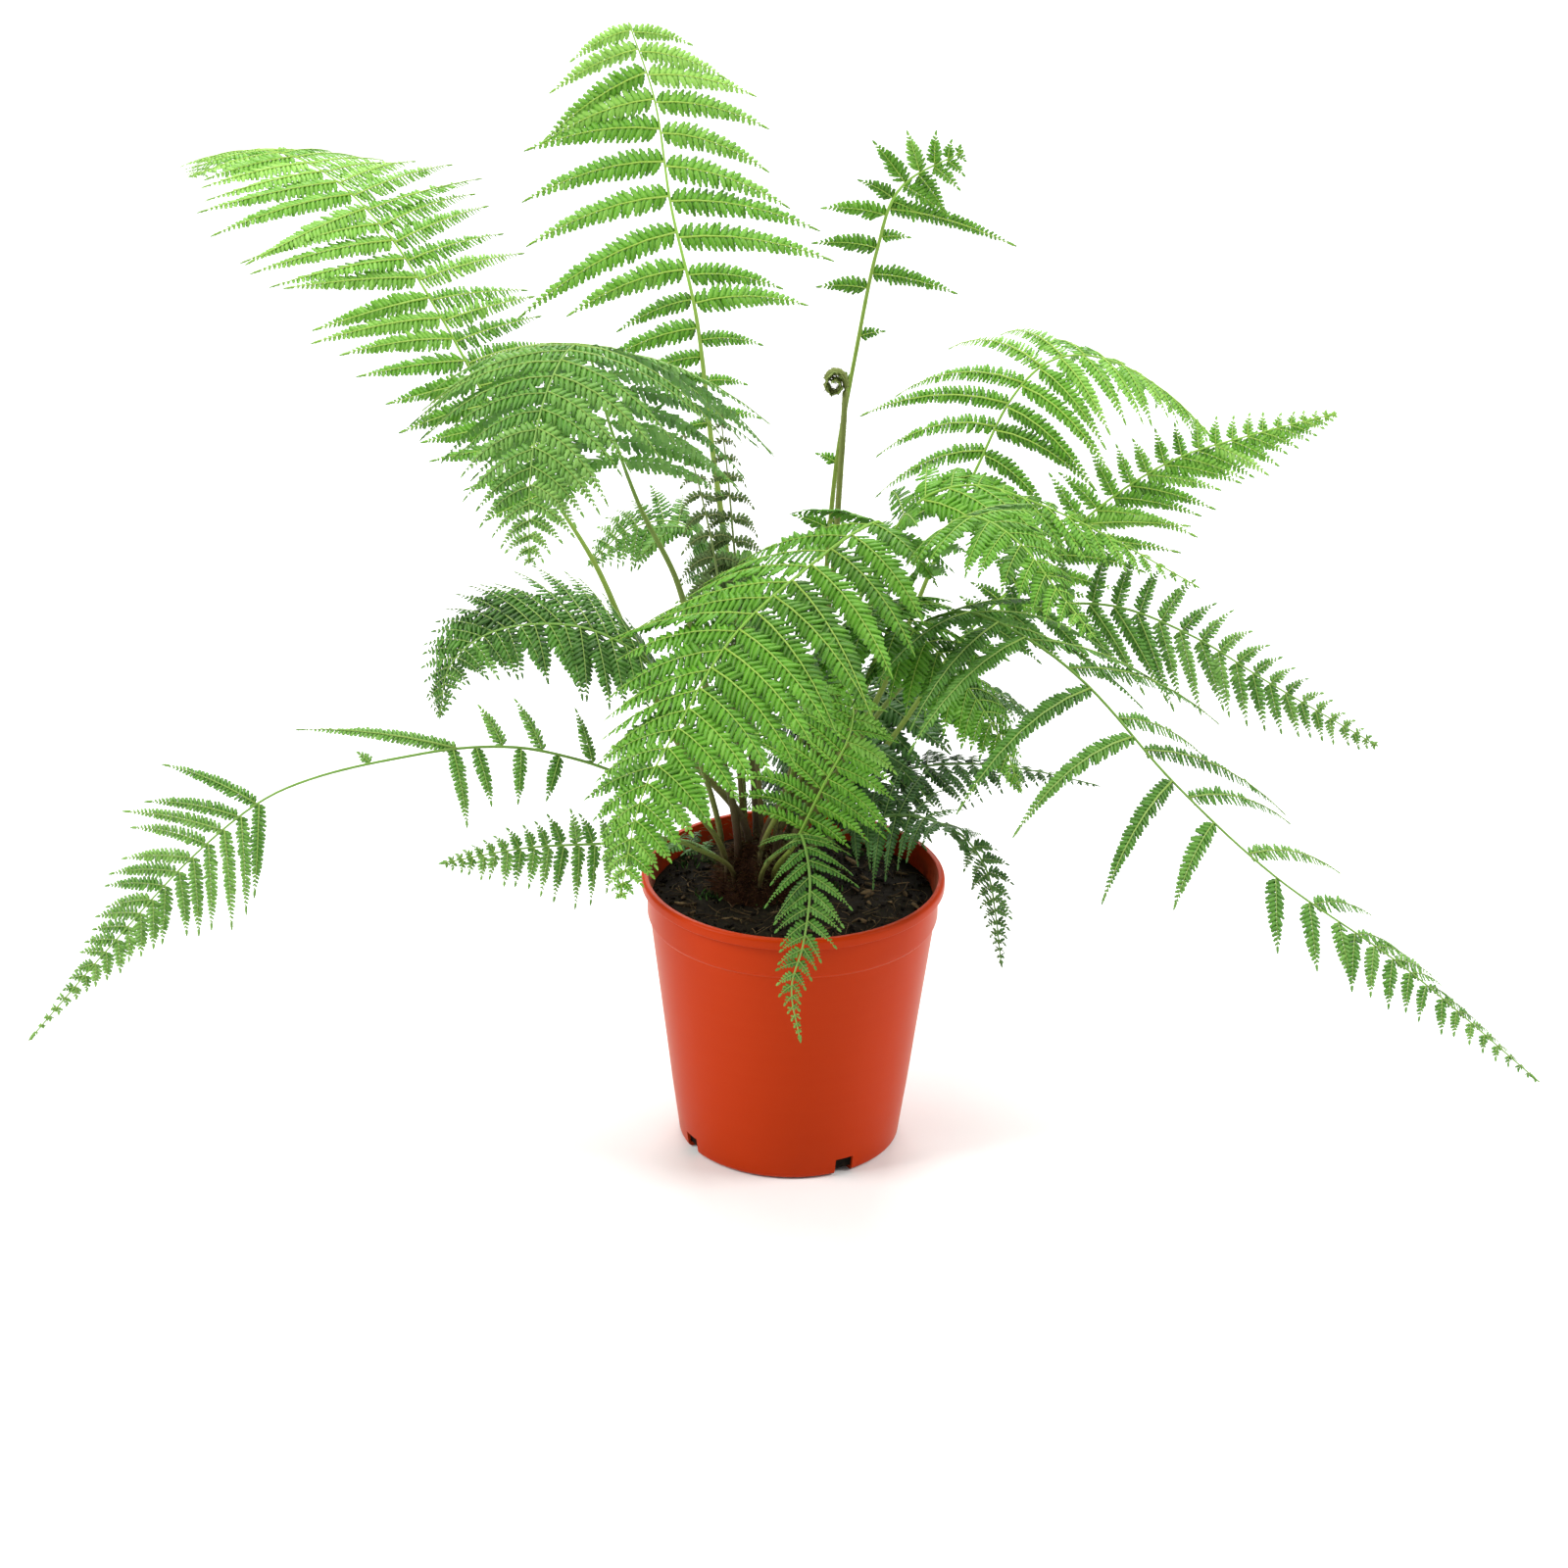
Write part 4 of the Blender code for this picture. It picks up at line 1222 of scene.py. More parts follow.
    def _moss(self, patterns: Patterns) -> bpy.types.Object:
        """Short green shoots in a few patches.

        Args:
            patterns: the repeated shapes.

        Returns:
            The piece.
        """
        drawn = np.random.default_rng(self.MOSS_SEED)
        middles = self._spots(self.patches, self.PATCH_SEED, 0.9)
        spots = middles[drawn.integers(0, len(middles), self.tufts)]
        spots = spots + drawn.normal(size=(self.tufts, 3)) * 4 * MM
        spots[:, 2] = [self.surface(x, y) for x, y in spots[:, :2]]
        spots = spots[np.hypot(spots[:, 0], spots[:, 1]) < self.pot.inside(self.level) - 3 * MM]
        count = len(spots)
        along = unit(UP + drawn.normal(size=(count, 3)) * 0.55)
        across = unit(np.cross(along, drawn.normal(size=(count, 3))))
        length, width, height = (2 + 3 * drawn.random(count)) * MM, 1.3 * MM, 2 * MM
        sizes = np.stack((length, np.full(count, width), np.full(count, height)), axis=1)
        thicket = Thicket()
        thicket.scatter(patterns.leaflets[3], spots, along, across, sizes, drawn.random(count))
        return thicket.make("peat_mosses", MOSS.make())

    def _scraps(self, patterns: Patterns) -> bpy.types.Object:
        """Dry scraps of leaf.

        Args:
            patterns: the repeated shapes.

        Returns:
            The piece.
        """
        drawn = np.random.default_rng(self.SCRAP_SEED)
        spots = self._spots(self.scraps, self.SCRAP_SEED, 0.93) + UP * 1.2 * MM
        along = unit(drawn.normal(size=(self.scraps, 3)) * (1, 1, 0.25))
        across = unit(np.cross(UP + drawn.normal(size=(self.scraps, 3)) * 0.3, along))
        length = (4 + 5 * drawn.random(self.scraps)) * MM
        sizes = np.stack((length, length * 0.5, length), axis=1)
        thicket = Thicket()
        thicket.scatter(patterns.leaflets[4], spots, along, across, sizes, drawn.random(self.scraps))
        return thicket.make("peat_scraps", FIBRE.make())


@dataclass
class Crown:
    """The hairy rootstock that every stalk stands in."""

    middle: Pair = (-20 * MM, 0.0)
    radius: float = 24 * MM
    rise: float = 30 * MM
    depth: float = 17 * MM
    level: float = 149 * MM
    rings: tuple[float, ...] = (1, 0.95, 0.88, 0.8, 0.7, 0.6, 0.45, 0.3, 0.15)
    sides: int = 72
    hairs: int = 2600

    SEED = 17

    def distance(self, x: float, y: float) -> float:
        """How far a place is from the crown's middle."""
        return math.hypot(x - self.middle[0], y - self.middle[1])

    def height(self, distance: float) -> float:
        """The height of the domed top at a distance from its middle."""
        return self.level + self.rise * (1 - (distance / (self.radius + MM)) ** 2.2)

    def foot(self, angle: float, distance: float) -> Numbers:
        """Where a stalk leaves the crown, from its angle and its distance from the middle in millimetres."""
        turned, out = math.radians(angle), distance * MM
        x, y = self.middle[0] + out * math.cos(turned), self.middle[1] + out * math.sin(turned)
        return np.array((x, y, self.height(out)))

    def build(self, patterns: Patterns) -> list[bpy.types.Object]:
        """Build the stock and its hairs.

        Args:
            patterns: the repeated shapes.

        Returns:
            The pieces.
        """
        outline = [(self.radius * share, self.level - self.depth) for share in (0.5, 1)]
        outline += [(self.radius * share, self.height(self.radius * share)) for share in self.rings]
        stock = turn("crown_stock", outline, self.sides)
        for vertex in stock.data.vertices:
            around = math.atan2(vertex.co.y, vertex.co.x)
            ridge = abs(math.sin(around * 6 + vertex.co.z * 160)) * 1.6 - 0.9
            rough = noise.noise(vertex.co * 180) * 1.4
            above = vertex.co.z > self.level - 2 * MM
            out = Vector((math.cos(around), math.sin(around), 0.3))
            vertex.co += out * (ridge + rough) * MM * (1.0 if above else 0.0)
            vertex.co.x += self.middle[0]
            vertex.co.y += self.middle[1]
        stock.data.shade_smooth()
        paint_evenly(stock)
        stock.data.materials.append(BARK.make())
        return [stock, self._hairs(patterns)]

    def _hairs(self, patterns: Patterns) -> bpy.types.Object:
        """Rusty hairs all over the stock, that stand out and up.

        Args:
            patterns: the repeated shapes.

        Returns:
            The piece.
        """
        drawn = np.random.default_rng(self.SEED)
        thicket = Thicket()
        angles = drawn.uniform(0, 2 * math.pi, self.hairs)
        shares = np.sqrt(drawn.uniform(0.02, 1.0, self.hairs))
        points = []
        for angle, share in zip(angles, shares):
            root = self.foot(math.degrees(angle), share * self.radius / MM)
            out = np.array((math.cos(angle), math.sin(angle), 0.0))
            lean = 0.35 + 0.9 * share
            heading = unit(UP + out * lean + drawn.normal(size=3) * 0.35)
            length = (3.0 + 4.5 * drawn.random()) * MM
            sag = out * 0.4 - UP * (0.3 + 0.5 * drawn.random())
            tip = root + (heading + sag * 0.5) * length
            line = np.stack((root - heading * MM, root + heading * length * 0.5, tip))
            rail = Rail.through(line, np.cross(out, UP))
            points.append(rail.bend(patterns.hair, np.array((0.17, 0.12, 0.03)) * MM)[0])
        thicket.add(patterns.hair, np.array(points), drawn.random(self.hairs))
        return thicket.make("crown_hairs", HAIR.make())


# The fronds


@dataclass(frozen=True)
class Frond:
    """One frond, in millimetres and degrees. The blade is the part with pinnae.

    foot is the angle and distance of its socket from the middle of the crown, route the points that its stalk
    then passes, and stalk the radius at its foot. blade is the share of the route where the blade starts.
    reach is the longest pinna, peak the share of the blade where it is, taper how the blade narrows after it,
    and sides scales the two sides. across is where the pinnae of one side point at the start of the blade
    and at its tip. sweep is their angle to the stalk there, and skew is added on that side and taken from the
    other. droop is how far the pinnae hang, and spacing how far apart they are. broad scales a pinna's half
    width, narrow is the most that it may be, and full is how long it stays broad. bare is a stretch of the
    route without pinnae, and singles are further ones as (share of the route, side, length, angle). tones are
    how light the leaflets are at the start of the blade and at its tip.
    """

    name: str
    foot: Pair
    route: tuple[Triple, ...]
    blade: float
    reach: float
    across: tuple[Triple, Triple]
    green: Green = Green.MATURE
    stalk: float = 1.8
    sweep: Pair = (88, 62)
    skew: Pair = (0, 0)
    sides: Pair = (1, 1)
    droop: float = 0.5
    peak: float = 0.3
    taper: float = 0.8
    bare: Pair = (0, 0)
    tones: Pair = (0.35, 0.6)
    spacing: float = 16
    broad: float = 1.0
    narrow: float = 12
    full: float = 1.2
    singles: tuple[tuple[float, int, float, float], ...] = ()


FRONDS = (
    Frond(
        "front_arch",
        (300, 5),
        ((10, -10, 235), (27, -20, 290), (40, -25, 340), (46, -36, 380), (40, -48, 393), (5, -80, 380),
         (-35, -120, 355), (-65, -160, 315), (-80, -180, 290), (-90, -205, 245)),
        blade=0.44, reach=88, across=((0.8, -0.5, 0), (0.9, -0.4, 0)), green=Green.FRESH, stalk=2.2,
        droop=0.7, tones=(0.3, 0.5), sweep=(75, 62), skew=(12, 5), sides=(1.12, 1.05), spacing=13,
        broad=1.15, full=1.9, narrow=10,
    ),
    Frond(
        "over_rim",
        (275, 19),
        ((0, -40, 200), (5, -70, 215), (9, -95, 200), (6, -105, 170), (0, -110, 145), (5, -111, 115)),
        blade=0.25, reach=34, across=((1, 0, 0), (1, 0, 0)), stalk=1.4, tones=(0.25, 0.65), spacing=8,
        taper=1.2, narrow=4, sweep=(66, 46),
    ),
    Frond(
        "front_young",
        (300, 18),
        ((0, -25, 190), (15, -35, 230), (29, -42, 265), (30, -50, 290), (20, -60, 310)),
        blade=0.24, reach=54, across=((0.9, -0.3, -0.3), (0.8, -0.35, 0.3)), green=Green.FRESH, stalk=1.6,
        sweep=(80, 60), droop=0.8, tones=(0.45, 0.6), spacing=8.5, broad=1.2, narrow=6, full=1.6,
        sides=(0.85, 1.2),
    ),
    Frond(
        "centre",
        (275, 12),
        ((-5, -15, 215), (8, -30, 280), (22, -48, 330), (45, -68, 348), (75, -88, 335), (105, -105, 300),
         (120, -115, 268)),
        blade=0.28, reach=70, across=((-0.5, -0.85, 0), (-0.5, -0.8, -0.2)), green=Green.FRESH, stalk=1.6,
        sweep=(84, 60), droop=0.8, tones=(0.15, 0.4), spacing=9, broad=1.2, narrow=10, full=1.7,
    ),
    Frond(
        "left_arch",
        (205, 12),
        ((-45, -10, 255), (-65, -25, 345), (-85, -40, 395), (-100, -65, 450), (-111, -105, 508),
         (-120, -145, 522), (-130, -180, 508), (-135, -205, 482), (-135, -225, 440)),
        blade=0.5, reach=116, across=((1, -0.1, 0), (1, -0.2, 0)), stalk=2.2, droop=1.15, tones=(0.4, 0.7),
        sweep=(90, 70), spacing=12, broad=1.0, narrow=8.5,
    ),
    Frond(
        "right_far",
        (325, 19),
        ((20, -20, 240), (50, -40, 315), (85, -60, 347), (120, -75, 340), (155, -90, 318), (200, -115, 275),
         (255, -135, 230), (325, -150, 185), (400, -165, 125)),
        blade=0.3, reach=112, across=((-0.5, -0.85, 0), (-0.5, -0.7, -0.3)), stalk=2.0, droop=0.8,
        peak=0.15, taper=1.1, tones=(0.35, 0.6), spacing=14, sweep=(73, 46), skew=(35, 12),
        bare=(0.42, 0.79), broad=1.0, narrow=6.5, full=1.7,
        singles=((0.485, 1, 118, 104), (0.54, 1, 100, 104), (0.59, 1, 88, 90), (0.64, 1, 58, 88),
            (0.71, 1, 42, 62), (0.745, 1, 38, 58), (0.775, 1, 34, 52), (0.46, -1, 122, 58),
            (0.52, -1, 70, 62), (0.555, -1, 116, 60), (0.61, -1, 86, 64), (0.68, -1, 76, 60),
            (0.75, -1, 46, 52)),
    ),
    Frond(
        "right_inner",
        (322, 12),
        ((27, -16, 255), (42, -22, 300), (60, -35, 350), (75, -50, 388), (92, -70, 406), (115, -90, 400),
         (135, -105, 380), (155, -120, 360)),
        blade=0.55, reach=56, across=((-0.6, -0.8, 0), (-0.6, -0.8, 0)), green=Green.FRESH, droop=0.7,
        tones=(0.3, 0.5), spacing=11, broad=1.2, narrow=10, full=1.5,
    ),
    Frond(
        "right_arch",
        (355, 11),
        ((15, 0, 250), (30, 10, 310), (45, 15, 350), (67, 18, 380), (95, 20, 388), (125, 24, 378),
         (160, 25, 362), (220, 20, 330)),
        blade=0.48, reach=92, across=((0.3, -0.95, 0), (0.1, -0.9, -0.2)), green=Green.FRESH, droop=0.7,
        tones=(0.3, 0.5), peak=0.12, taper=1.2, sweep=(68, 56), skew=(-14, -4), sides=(1, 0.7), spacing=13,
        broad=1.1, narrow=10, full=1.5,
    ),
    Frond(
        "left_tall",
        (170, 5),
        ((-65, 10, 235), (-90, 20, 285), (-115, 38, 335), (-170, 75, 405), (-200, 100, 450),
         (-235, 130, 493), (-275, 160, 517), (-315, 190, 515), (-350, 210, 492)),
        blade=0.4, reach=104, across=((0.8, 0.7, -0.3), (0.8, 0.6, -0.1)), green=Green.FRESH, stalk=2.2,
        droop=0.3, tones=(0.3, 0.8), sweep=(83, 83), skew=(7, -1), peak=0.6, taper=0.85, spacing=12.5,
        broad=1.02, narrow=8.5,
    ),
    Frond(
        "back_tall",
        (95, 12),
        ((-25, 32, 225), (-38, 75, 305), (-50, 110, 375), (-60, 140, 440), (-75, 165, 495), (-85, 185, 550),
         (-100, 195, 592)),
        blade=0.68, reach=96, across=((1, 0.1, 0), (1, 0.1, 0)), green=Green.FRESH, stalk=2.0, droop=0.7,
        peak=0.1, tones=(0.4, 0.85), sweep=(92, 92), skew=(9, 9), taper=0.28, spacing=18,
        sides=(0.95, 1.08), broad=1.0, narrow=10.5,
        singles=((0.655, 1, 66, 86), (0.66, -1, 46, 88), (0.625, -1, 58, 88), (0.61, 1, 36, 86),
            (0.59, -1, 40, 86), (0.565, -1, 24, 84), (0.56, 1, 24, 84), (0.52, 1, 30, 84),
            (0.51, -1, 18, 84), (0.44, 1, 14, 80)),
    ),
    Frond(
        "left_far",
        (208, 19),
        ((-55, -25, 210), (-90, -40, 236), (-120, -50, 252), (-155, -60, 263), (-200, -70, 263),
         (-275, -80, 245), (-320, -90, 213), (-370, -100, 158), (-415, -110, 105)),
        blade=0.22, reach=59, across=((0.3, -0.5, -0.8), (0.65, -0.35, -0.65)), stalk=1.7, droop=0.3,
        peak=0.56, bare=(0, 0.61), tones=(0.5, 0.75), sweep=(78, 40), skew=(0, -2), taper=1.5, spacing=12,
        broad=1.2, narrow=4.8, full=1.9,
        singles=((0.25, -1, 32, 66), (0.31, -1, 32, 60), (0.355, -1, 26, 66), (0.405, -1, 88, 20),
            (0.5, -1, 9, 60), (0.29, 1, 26, 80), (0.335, 1, 30, 90), (0.385, 1, 32, 104),
            (0.41, 1, 42, 96)),
    ),
    Frond(
        "left_low",
        (228, 19),
        ((-55, -30, 190), (-75, -45, 203), (-100, -55, 204), (-145, -65, 205), (-190, -75, 200)),
        blade=0.4, reach=34, across=((0.1, -0.45, -0.85), (0.1, -0.45, -0.85)), stalk=1.4, tones=(0.5, 0.7),
        spacing=8, sides=(1, 0.6), broad=1.2, narrow=5,
    ),
    Frond(
        "left_middle",
        (185, 19),
        ((-55, -10, 240), (-80, -20, 295), (-110, -21, 315), (-140, -19, 318), (-170, -12, 308),
         (-190, -10, 288), (-196, -10, 258)),
        blade=0.4, reach=66, across=((0.3, -0.75, -0.5), (0.7, -0.5, -0.4)), stalk=1.7, tones=(0.15, 0.35),
        spacing=8, skew=(30, 34), sweep=(88, 74), sides=(0.75, 1.05), broad=1.3, narrow=8.5,
    ),
    Frond(
        "left_soil",
        (160, 20),
        ((-49, 13, 168), (-60, 20, 170), (-73, 28, 167)),
        blade=0.35, reach=22, across=((0.4, 0.9, 0), (0.4, 0.9, 0)), green=Green.SHADED, stalk=1.2,
        droop=0.2, spacing=7, broad=1.3,
    ),
    Frond(
        "right_middle",
        (5, 19),
        ((30, 10, 230), (75, 10, 290), (125, 10, 318), (170, 9, 323), (215, 5, 308), (260, 0, 282),
         (320, -10, 250)),
        blade=0.4, reach=62, across=((-0.3, -0.6, -0.7), (-0.4, -0.4, -0.8)), sweep=(76, 55),
        tones=(0.4, 0.65), skew=(-18, -15), sides=(1, 0.6), spacing=12, broad=1.1, narrow=6,
    ),
    Frond(
        "right_rising",
        (25, 19),
        ((50, 30, 225), (95, 55, 285), (135, 75, 320), (170, 90, 350), (210, 102, 373), (255, 112, 385),
         (300, 120, 395)),
        blade=0.42, reach=66, across=((0.4, -0.5, -0.8), (0.4, -0.4, -0.8)), green=Green.FRESH,
        sweep=(66, 45), tones=(0.25, 0.7), skew=(-20, -22), sides=(1, 0.5), spacing=11, broad=1.2,
        narrow=6.5,
    ),
    Frond(
        "right_top",
        (45, 19),
        ((43, 40, 245), (75, 65, 322), (100, 88, 375), (118, 100, 410), (140, 110, 428), (170, 120, 425),
         (205, 130, 402), (235, 140, 370)),
        blade=0.5, reach=76, across=((0.9, -0.4, -0.2), (0.3, -0.9, -0.1)), green=Green.FRESH, stalk=1.9,
        droop=1.0, tones=(0.3, 0.75), sweep=(100, 75), skew=(-18, 0), spacing=13, broad=1.0, narrow=7,
        sides=(1, 1.3),
    ),
    Frond(
        "slender",
        (65, 12),
        ((10, 45, 230), (15, 60, 310), (20, 70, 380), (30, 80, 445), (40, 85, 500), (52, 86, 535),
         (85, 86, 556)),
        blade=0.88, reach=36, across=((1, 0.2, -0.1), (1, 0.1, -0.6)), green=Green.FRESH, stalk=1.5,
        tones=(0.35, 0.45), spacing=10, sweep=(85, 55), broad=1.3, narrow=7,
        singles=((0.785, 1, 50, 84), (0.765, -1, 28, 85), (0.82, -1, 36, 85), (0.835, 1, 16, 70),
            (0.865, -1, 36, 85), (0.875, 1, 76, 80), (0.7, 1, 14, 60), (0.64, -1, 9, 60),
            (0.44, -1, 22, 60), (0.45, 1, 14, 60), (0.53, -1, 12, 60)),
    ),
    Frond(
        "right_low",
        (345, 19),
        ((30, -15, 195), (60, -30, 212), (90, -50, 211), (105, -60, 195), (111, -65, 170), (115, -66, 140)),
        blade=0.25, reach=42, across=((0.5, -0.85, 0), (0.8, -0.5, 0)), green=Green.SHADED, stalk=1.5,
        tones=(0.35, 0.55), spacing=8, broad=1.3, narrow=5, peak=0.15, taper=1.0,
    ),
    Frond(
        "back_right",
        (68, 19),
        ((25, 30, 188), (58, 45, 203), (95, 58, 203), (135, 68, 195), (172, 76, 183)),
        blade=0.15, reach=58, across=((0.6, -0.8, 0), (0.5, -0.8, -0.2)), green=Green.SHADED, stalk=1.7,
        droop=0.6, tones=(0.2, 0.4), spacing=9, broad=1.2, narrow=6, taper=1.3, peak=0.2,
    ),
    Frond(
        "back_inner",
        (112, 19),
        ((-30, 28, 225), (-34, 48, 280), (-45, 66, 322), (-66, 80, 338), (-95, 90, 330), (-118, 98, 305)),
        blade=0.3, reach=62, across=((0.5, -0.8, -0.2), (0.6, -0.7, -0.3)), stalk=1.6, sweep=(84, 62),
        droop=0.6, tones=(0.35, 0.6), spacing=10, broad=1.3, narrow=9,
    ),
    Frond(
        "back_low",
        (88, 19),
        ((0, 40, 200), (30, 62, 235), (70, 80, 245), (110, 90, 235), (140, 95, 215)),
        blade=0.12, reach=80, across=((0.4, -0.9, 0), (0.4, -0.85, -0.2)), green=Green.SHADED, stalk=1.5,
        sweep=(86, 66), droop=0.6, tones=(0.25, 0.5), spacing=9, broad=1.3, narrow=11,
    ),
    Frond(
        "withered_left",
        (135, 12),
        ((-35, 16, 255), (-45, 30, 330), (-55, 40, 375), (-65, 50, 405)),
        blade=0.45, reach=30, across=((1, 0.3, 0), (1, 0.3, 0)), green=Green.WITHERED, stalk=1.5, droop=2.2,
        spacing=12,
    ),
    Frond(
        "withered_right",
        (60, 4),
        ((-25, 20, 255), (-35, 40, 333), (-40, 50, 380), (-45, 60, 415)),
        blade=0.45, reach=30, across=((1, 0.3, 0), (1, 0.3, 0)), green=Green.WITHERED, stalk=1.5, droop=2.2,
        spacing=12,
    ),
)


@dataclass(frozen=True)
class Pinna:
    """One pinna: its share of the route, its side of 1 or -1, its length and its angle to the stalk.

    droop scales how far it hangs, and roll is how many degrees its face turns about its own line.
    """

    share: float
    side: int
    length: float
    angle: float
    droop: float = 1.0
    roll: float = 0.0


def blade_width(share: Numbers, full: float) -> Numbers:
    """The outline of a pinna as a share of its half width: broad near the foot, drawn out at the tip.

    Args:
        share: how far along the pinna.
        full: how long it stays broad.

    Returns:
        The shares.
    """
    return np.minimum(1.0, 0.7 + 1.5 * share) * np.maximum(1 - share**full, 0) ** 0.85


@dataclass(frozen=True)
class Fur:
    """The hairs on a stalk: their lengths and thickness, how they lean, how deep they sit and their paint."""

    lengths: Pair
    thick: float
    leans: Pair
    seat: float
    tone: float
    brown: float

    def grow(
        self,
        thicket: Thicket,
        hair: Pattern,
        rail: Rail,
        radii: Numbers,
        shares: Numbers,
        drawn: np.random.Generator,
    ) -> None:
        """Grow hairs at shares of a stalk.

        Args:
            thicket: where they go.
            hair: one hair.
            rail: the stalk's line.
            radii: the stalk's radius at each point of the line.
            shares: where the hairs stand.
            drawn: the random draws.
        """
        count = len(shares)
        point, heading, across, up = rail.at(shares)
        out = tilted(across, up, drawn.uniform(0, 360, count))
        along = unit(out + heading * drawn.uniform(*self.leans, count)[:, None])
        sizes = np.stack((drawn.uniform(*self.lengths, count) * MM, *np.full((2, count), self.thick)), axis=1)
        roots = point + out * np.interp(shares, rail.shares, radii)[:, None] * self.seat
        side = unit(np.cross(along, heading))
        tone = drawn.random(count) * self.tone
        thicket.scatter(hair, roots, along, side, sizes, tone, np.full(count, self.brown))


@dataclass
class FrondMaker:
    """Grows one frond: its stalk, its pinnae and their leaflets, and the hairs at its foot."""

    frond: Frond
    crown: Crown
    patterns: Patterns
    rail: Rail = field(init=False)
    thicket: Thicket = field(init=False, default_factory=Thicket)
    drawn: np.random.Generator = field(init=False)
    pinnae: int = field(init=False, default=0)

    RACHIS = 0.95 * MM
    TIP = 0.35 * MM
    SOCKET = 7 * MM
    STEPS = 12
    CROWDING = 1.1
    OTHER_SIDE = 0.16
    LENGTHS = (0.88, 1.05)
    DROOPS = (0.75, 1.3)
    ANGLE_SPREAD = 4
    ROLL_SPREAD = 12
    TONE_SPREAD = 0.10
    LEAFLETS = ((4, 8 * MM, 1.0), (3, 5 * MM, 8 * MM), (2, 0.0, 5 * MM))
    FUR = Fur(lengths=(2.0, 4.5), thick=0.12 * MM, leans=(0.2, 1.0), seat=0.8, tone=0.5, brown=0.8)
    HAIRS = 90
    HAIRY = 90 * MM
    BENDS = (
        *((lift, 0, 1.0) for lift in (0, 9, -9, 18, -18)),
        *((0, turned, 1.0) for turned in (14, -14)),
        *((lift, 0, 0.95) for lift in (28, -28)),
        *((lift, 14, 0.85) for lift in (14, -14)),
        *((lift, 0, 0.8) for lift in (40, -40)),
        (0, 0, 0.6),
        (20, 0, 0.5),
        (-20, 0, 0.5),
        (0, 0, 0.35),
    )

    def __post_init__(self) -> None:
        """Lay out the frond's line."""
        frond = self.frond
        self.drawn = np.random.default_rng(sum(frond.name.encode()))
        points = smooth_line(self.crown.foot(*frond.foot), frond.route)
        marks = marks_of(points)
        along = np.clip((marks / marks[-1] - frond.blade) / (1 - frond.blade), 0, 1)[:, None]
        base, tip = (np.array(side, float) for side in frond.across)
        self.rail = Rail.through(points, base * (1 - along) + tip * along)

    def radii(self, shares: Numbers) -> Numbers:
        """The stalk's radius at shares of the route.

        Args:
            shares: from 0 to 1.

        Returns:
            The radii.
        """
        blade, stalk = self.frond.blade, self.frond.stalk * MM
        below = stalk + (self.RACHIS - stalk) * (np.minimum(shares, blade) / blade) ** 2.2
        along = np.clip((shares - blade) / (1 - blade), 0, 1)
        return np.where(shares < blade, below, self.RACHIS + (self.TIP - self.RACHIS) * along)

    def stand(self, clearance: Clearance) -> None:
        """Put the stalk in place before any pinna is bent clear of it."""
        clearance.add(self.frond.name, *clearance.shell(self.rail, self.radii(self.rail.shares), 1.0 * MM))

    def sweep_at(self, along: float, side: int) -> float:
        """The angle between the pinnae of a side and the stalk, at a share of the blade."""
        start, end = (sweep + side * skew for sweep, skew in zip(self.frond.sweep, self.frond.skew))
        return start + (end - start) * along

    def pinna_rail(self, pinna: Pinna, bend: Triple) -> Rail:
        """The line of one pinna.

        Args:
            pinna: which one it is.
            bend: lift and sweep in degrees and a share of the length.

        Returns:
            Its rail.
        """
        lift, turned, shortened = bend
        point, heading, across, up = (part[0] for part in self.rail.at(np.array([pinna.share])))
        out = tilted(heading, across * pinna.side, pinna.angle + turned)
        out = tilted(out, up, lift)
        steps = np.linspace(0, 1, self.STEPS + 1)[:, None]
        lines = unit(out - UP * self.frond.droop * pinna.droop * steps + heading * 0.12 * steps**2)
        moves = lines[:-1] * pinna.length * shortened / self.STEPS
        points = point + np.concatenate((np.zeros((1, 3)), np.cumsum(moves, axis=0)))
        return Rail.square(points, lines, heading).rolled(pinna.roll * np.minimum(1.0, steps * 4))

    def full_length(self, along: float) -> float:
        """The length of a pinna at a share of the blade."""
        peak, taper = self.frond.peak, self.frond.taper
        share = 0.5 + 0.5 * along / peak if along < peak else ((1 - along) / (1 - peak)) ** taper
        return self.frond.reach * MM * share

    def places(self) -> list[Pinna]:
        """Every pinna of the frond.

        Returns:
            The pinnae, from the foot of the blade on, and then the further ones.
        """
        frond = self.frond
        count = max(4, round(self.CROWDING * (1 - frond.blade) * self.rail.length / (frond.spacing * MM)))
        found = []
        for index in range(count):
            along = 1 - (1 - (index + 0.2) / count) ** 1.35
            for side, late in ((1, 0.0), (-1, self.OTHER_SIDE)):
                here = along + late * (1.35 - 0.9 * along) / count
                share = frond.blade + (1 - frond.blade) * here
                if frond.bare[0] < share < frond.bare[1] or here >= 0.995:
                    continue
                length = self.full_length(here) * frond.sides[side < 0] * self.drawn.uniform(*self.LENGTHS)
                angle = self.sweep_at(here, side) + self.drawn.normal() * self.ANGLE_SPREAD
                droop, roll = self.drawn.uniform(*self.DROOPS), self.drawn.normal() * self.ROLL_SPREAD
                found.append(Pinna(share, side, length, angle, droop, roll))
        found += [Pinna(share, side, length * MM, angle) for share, side, length, angle in frond.singles]
        return found

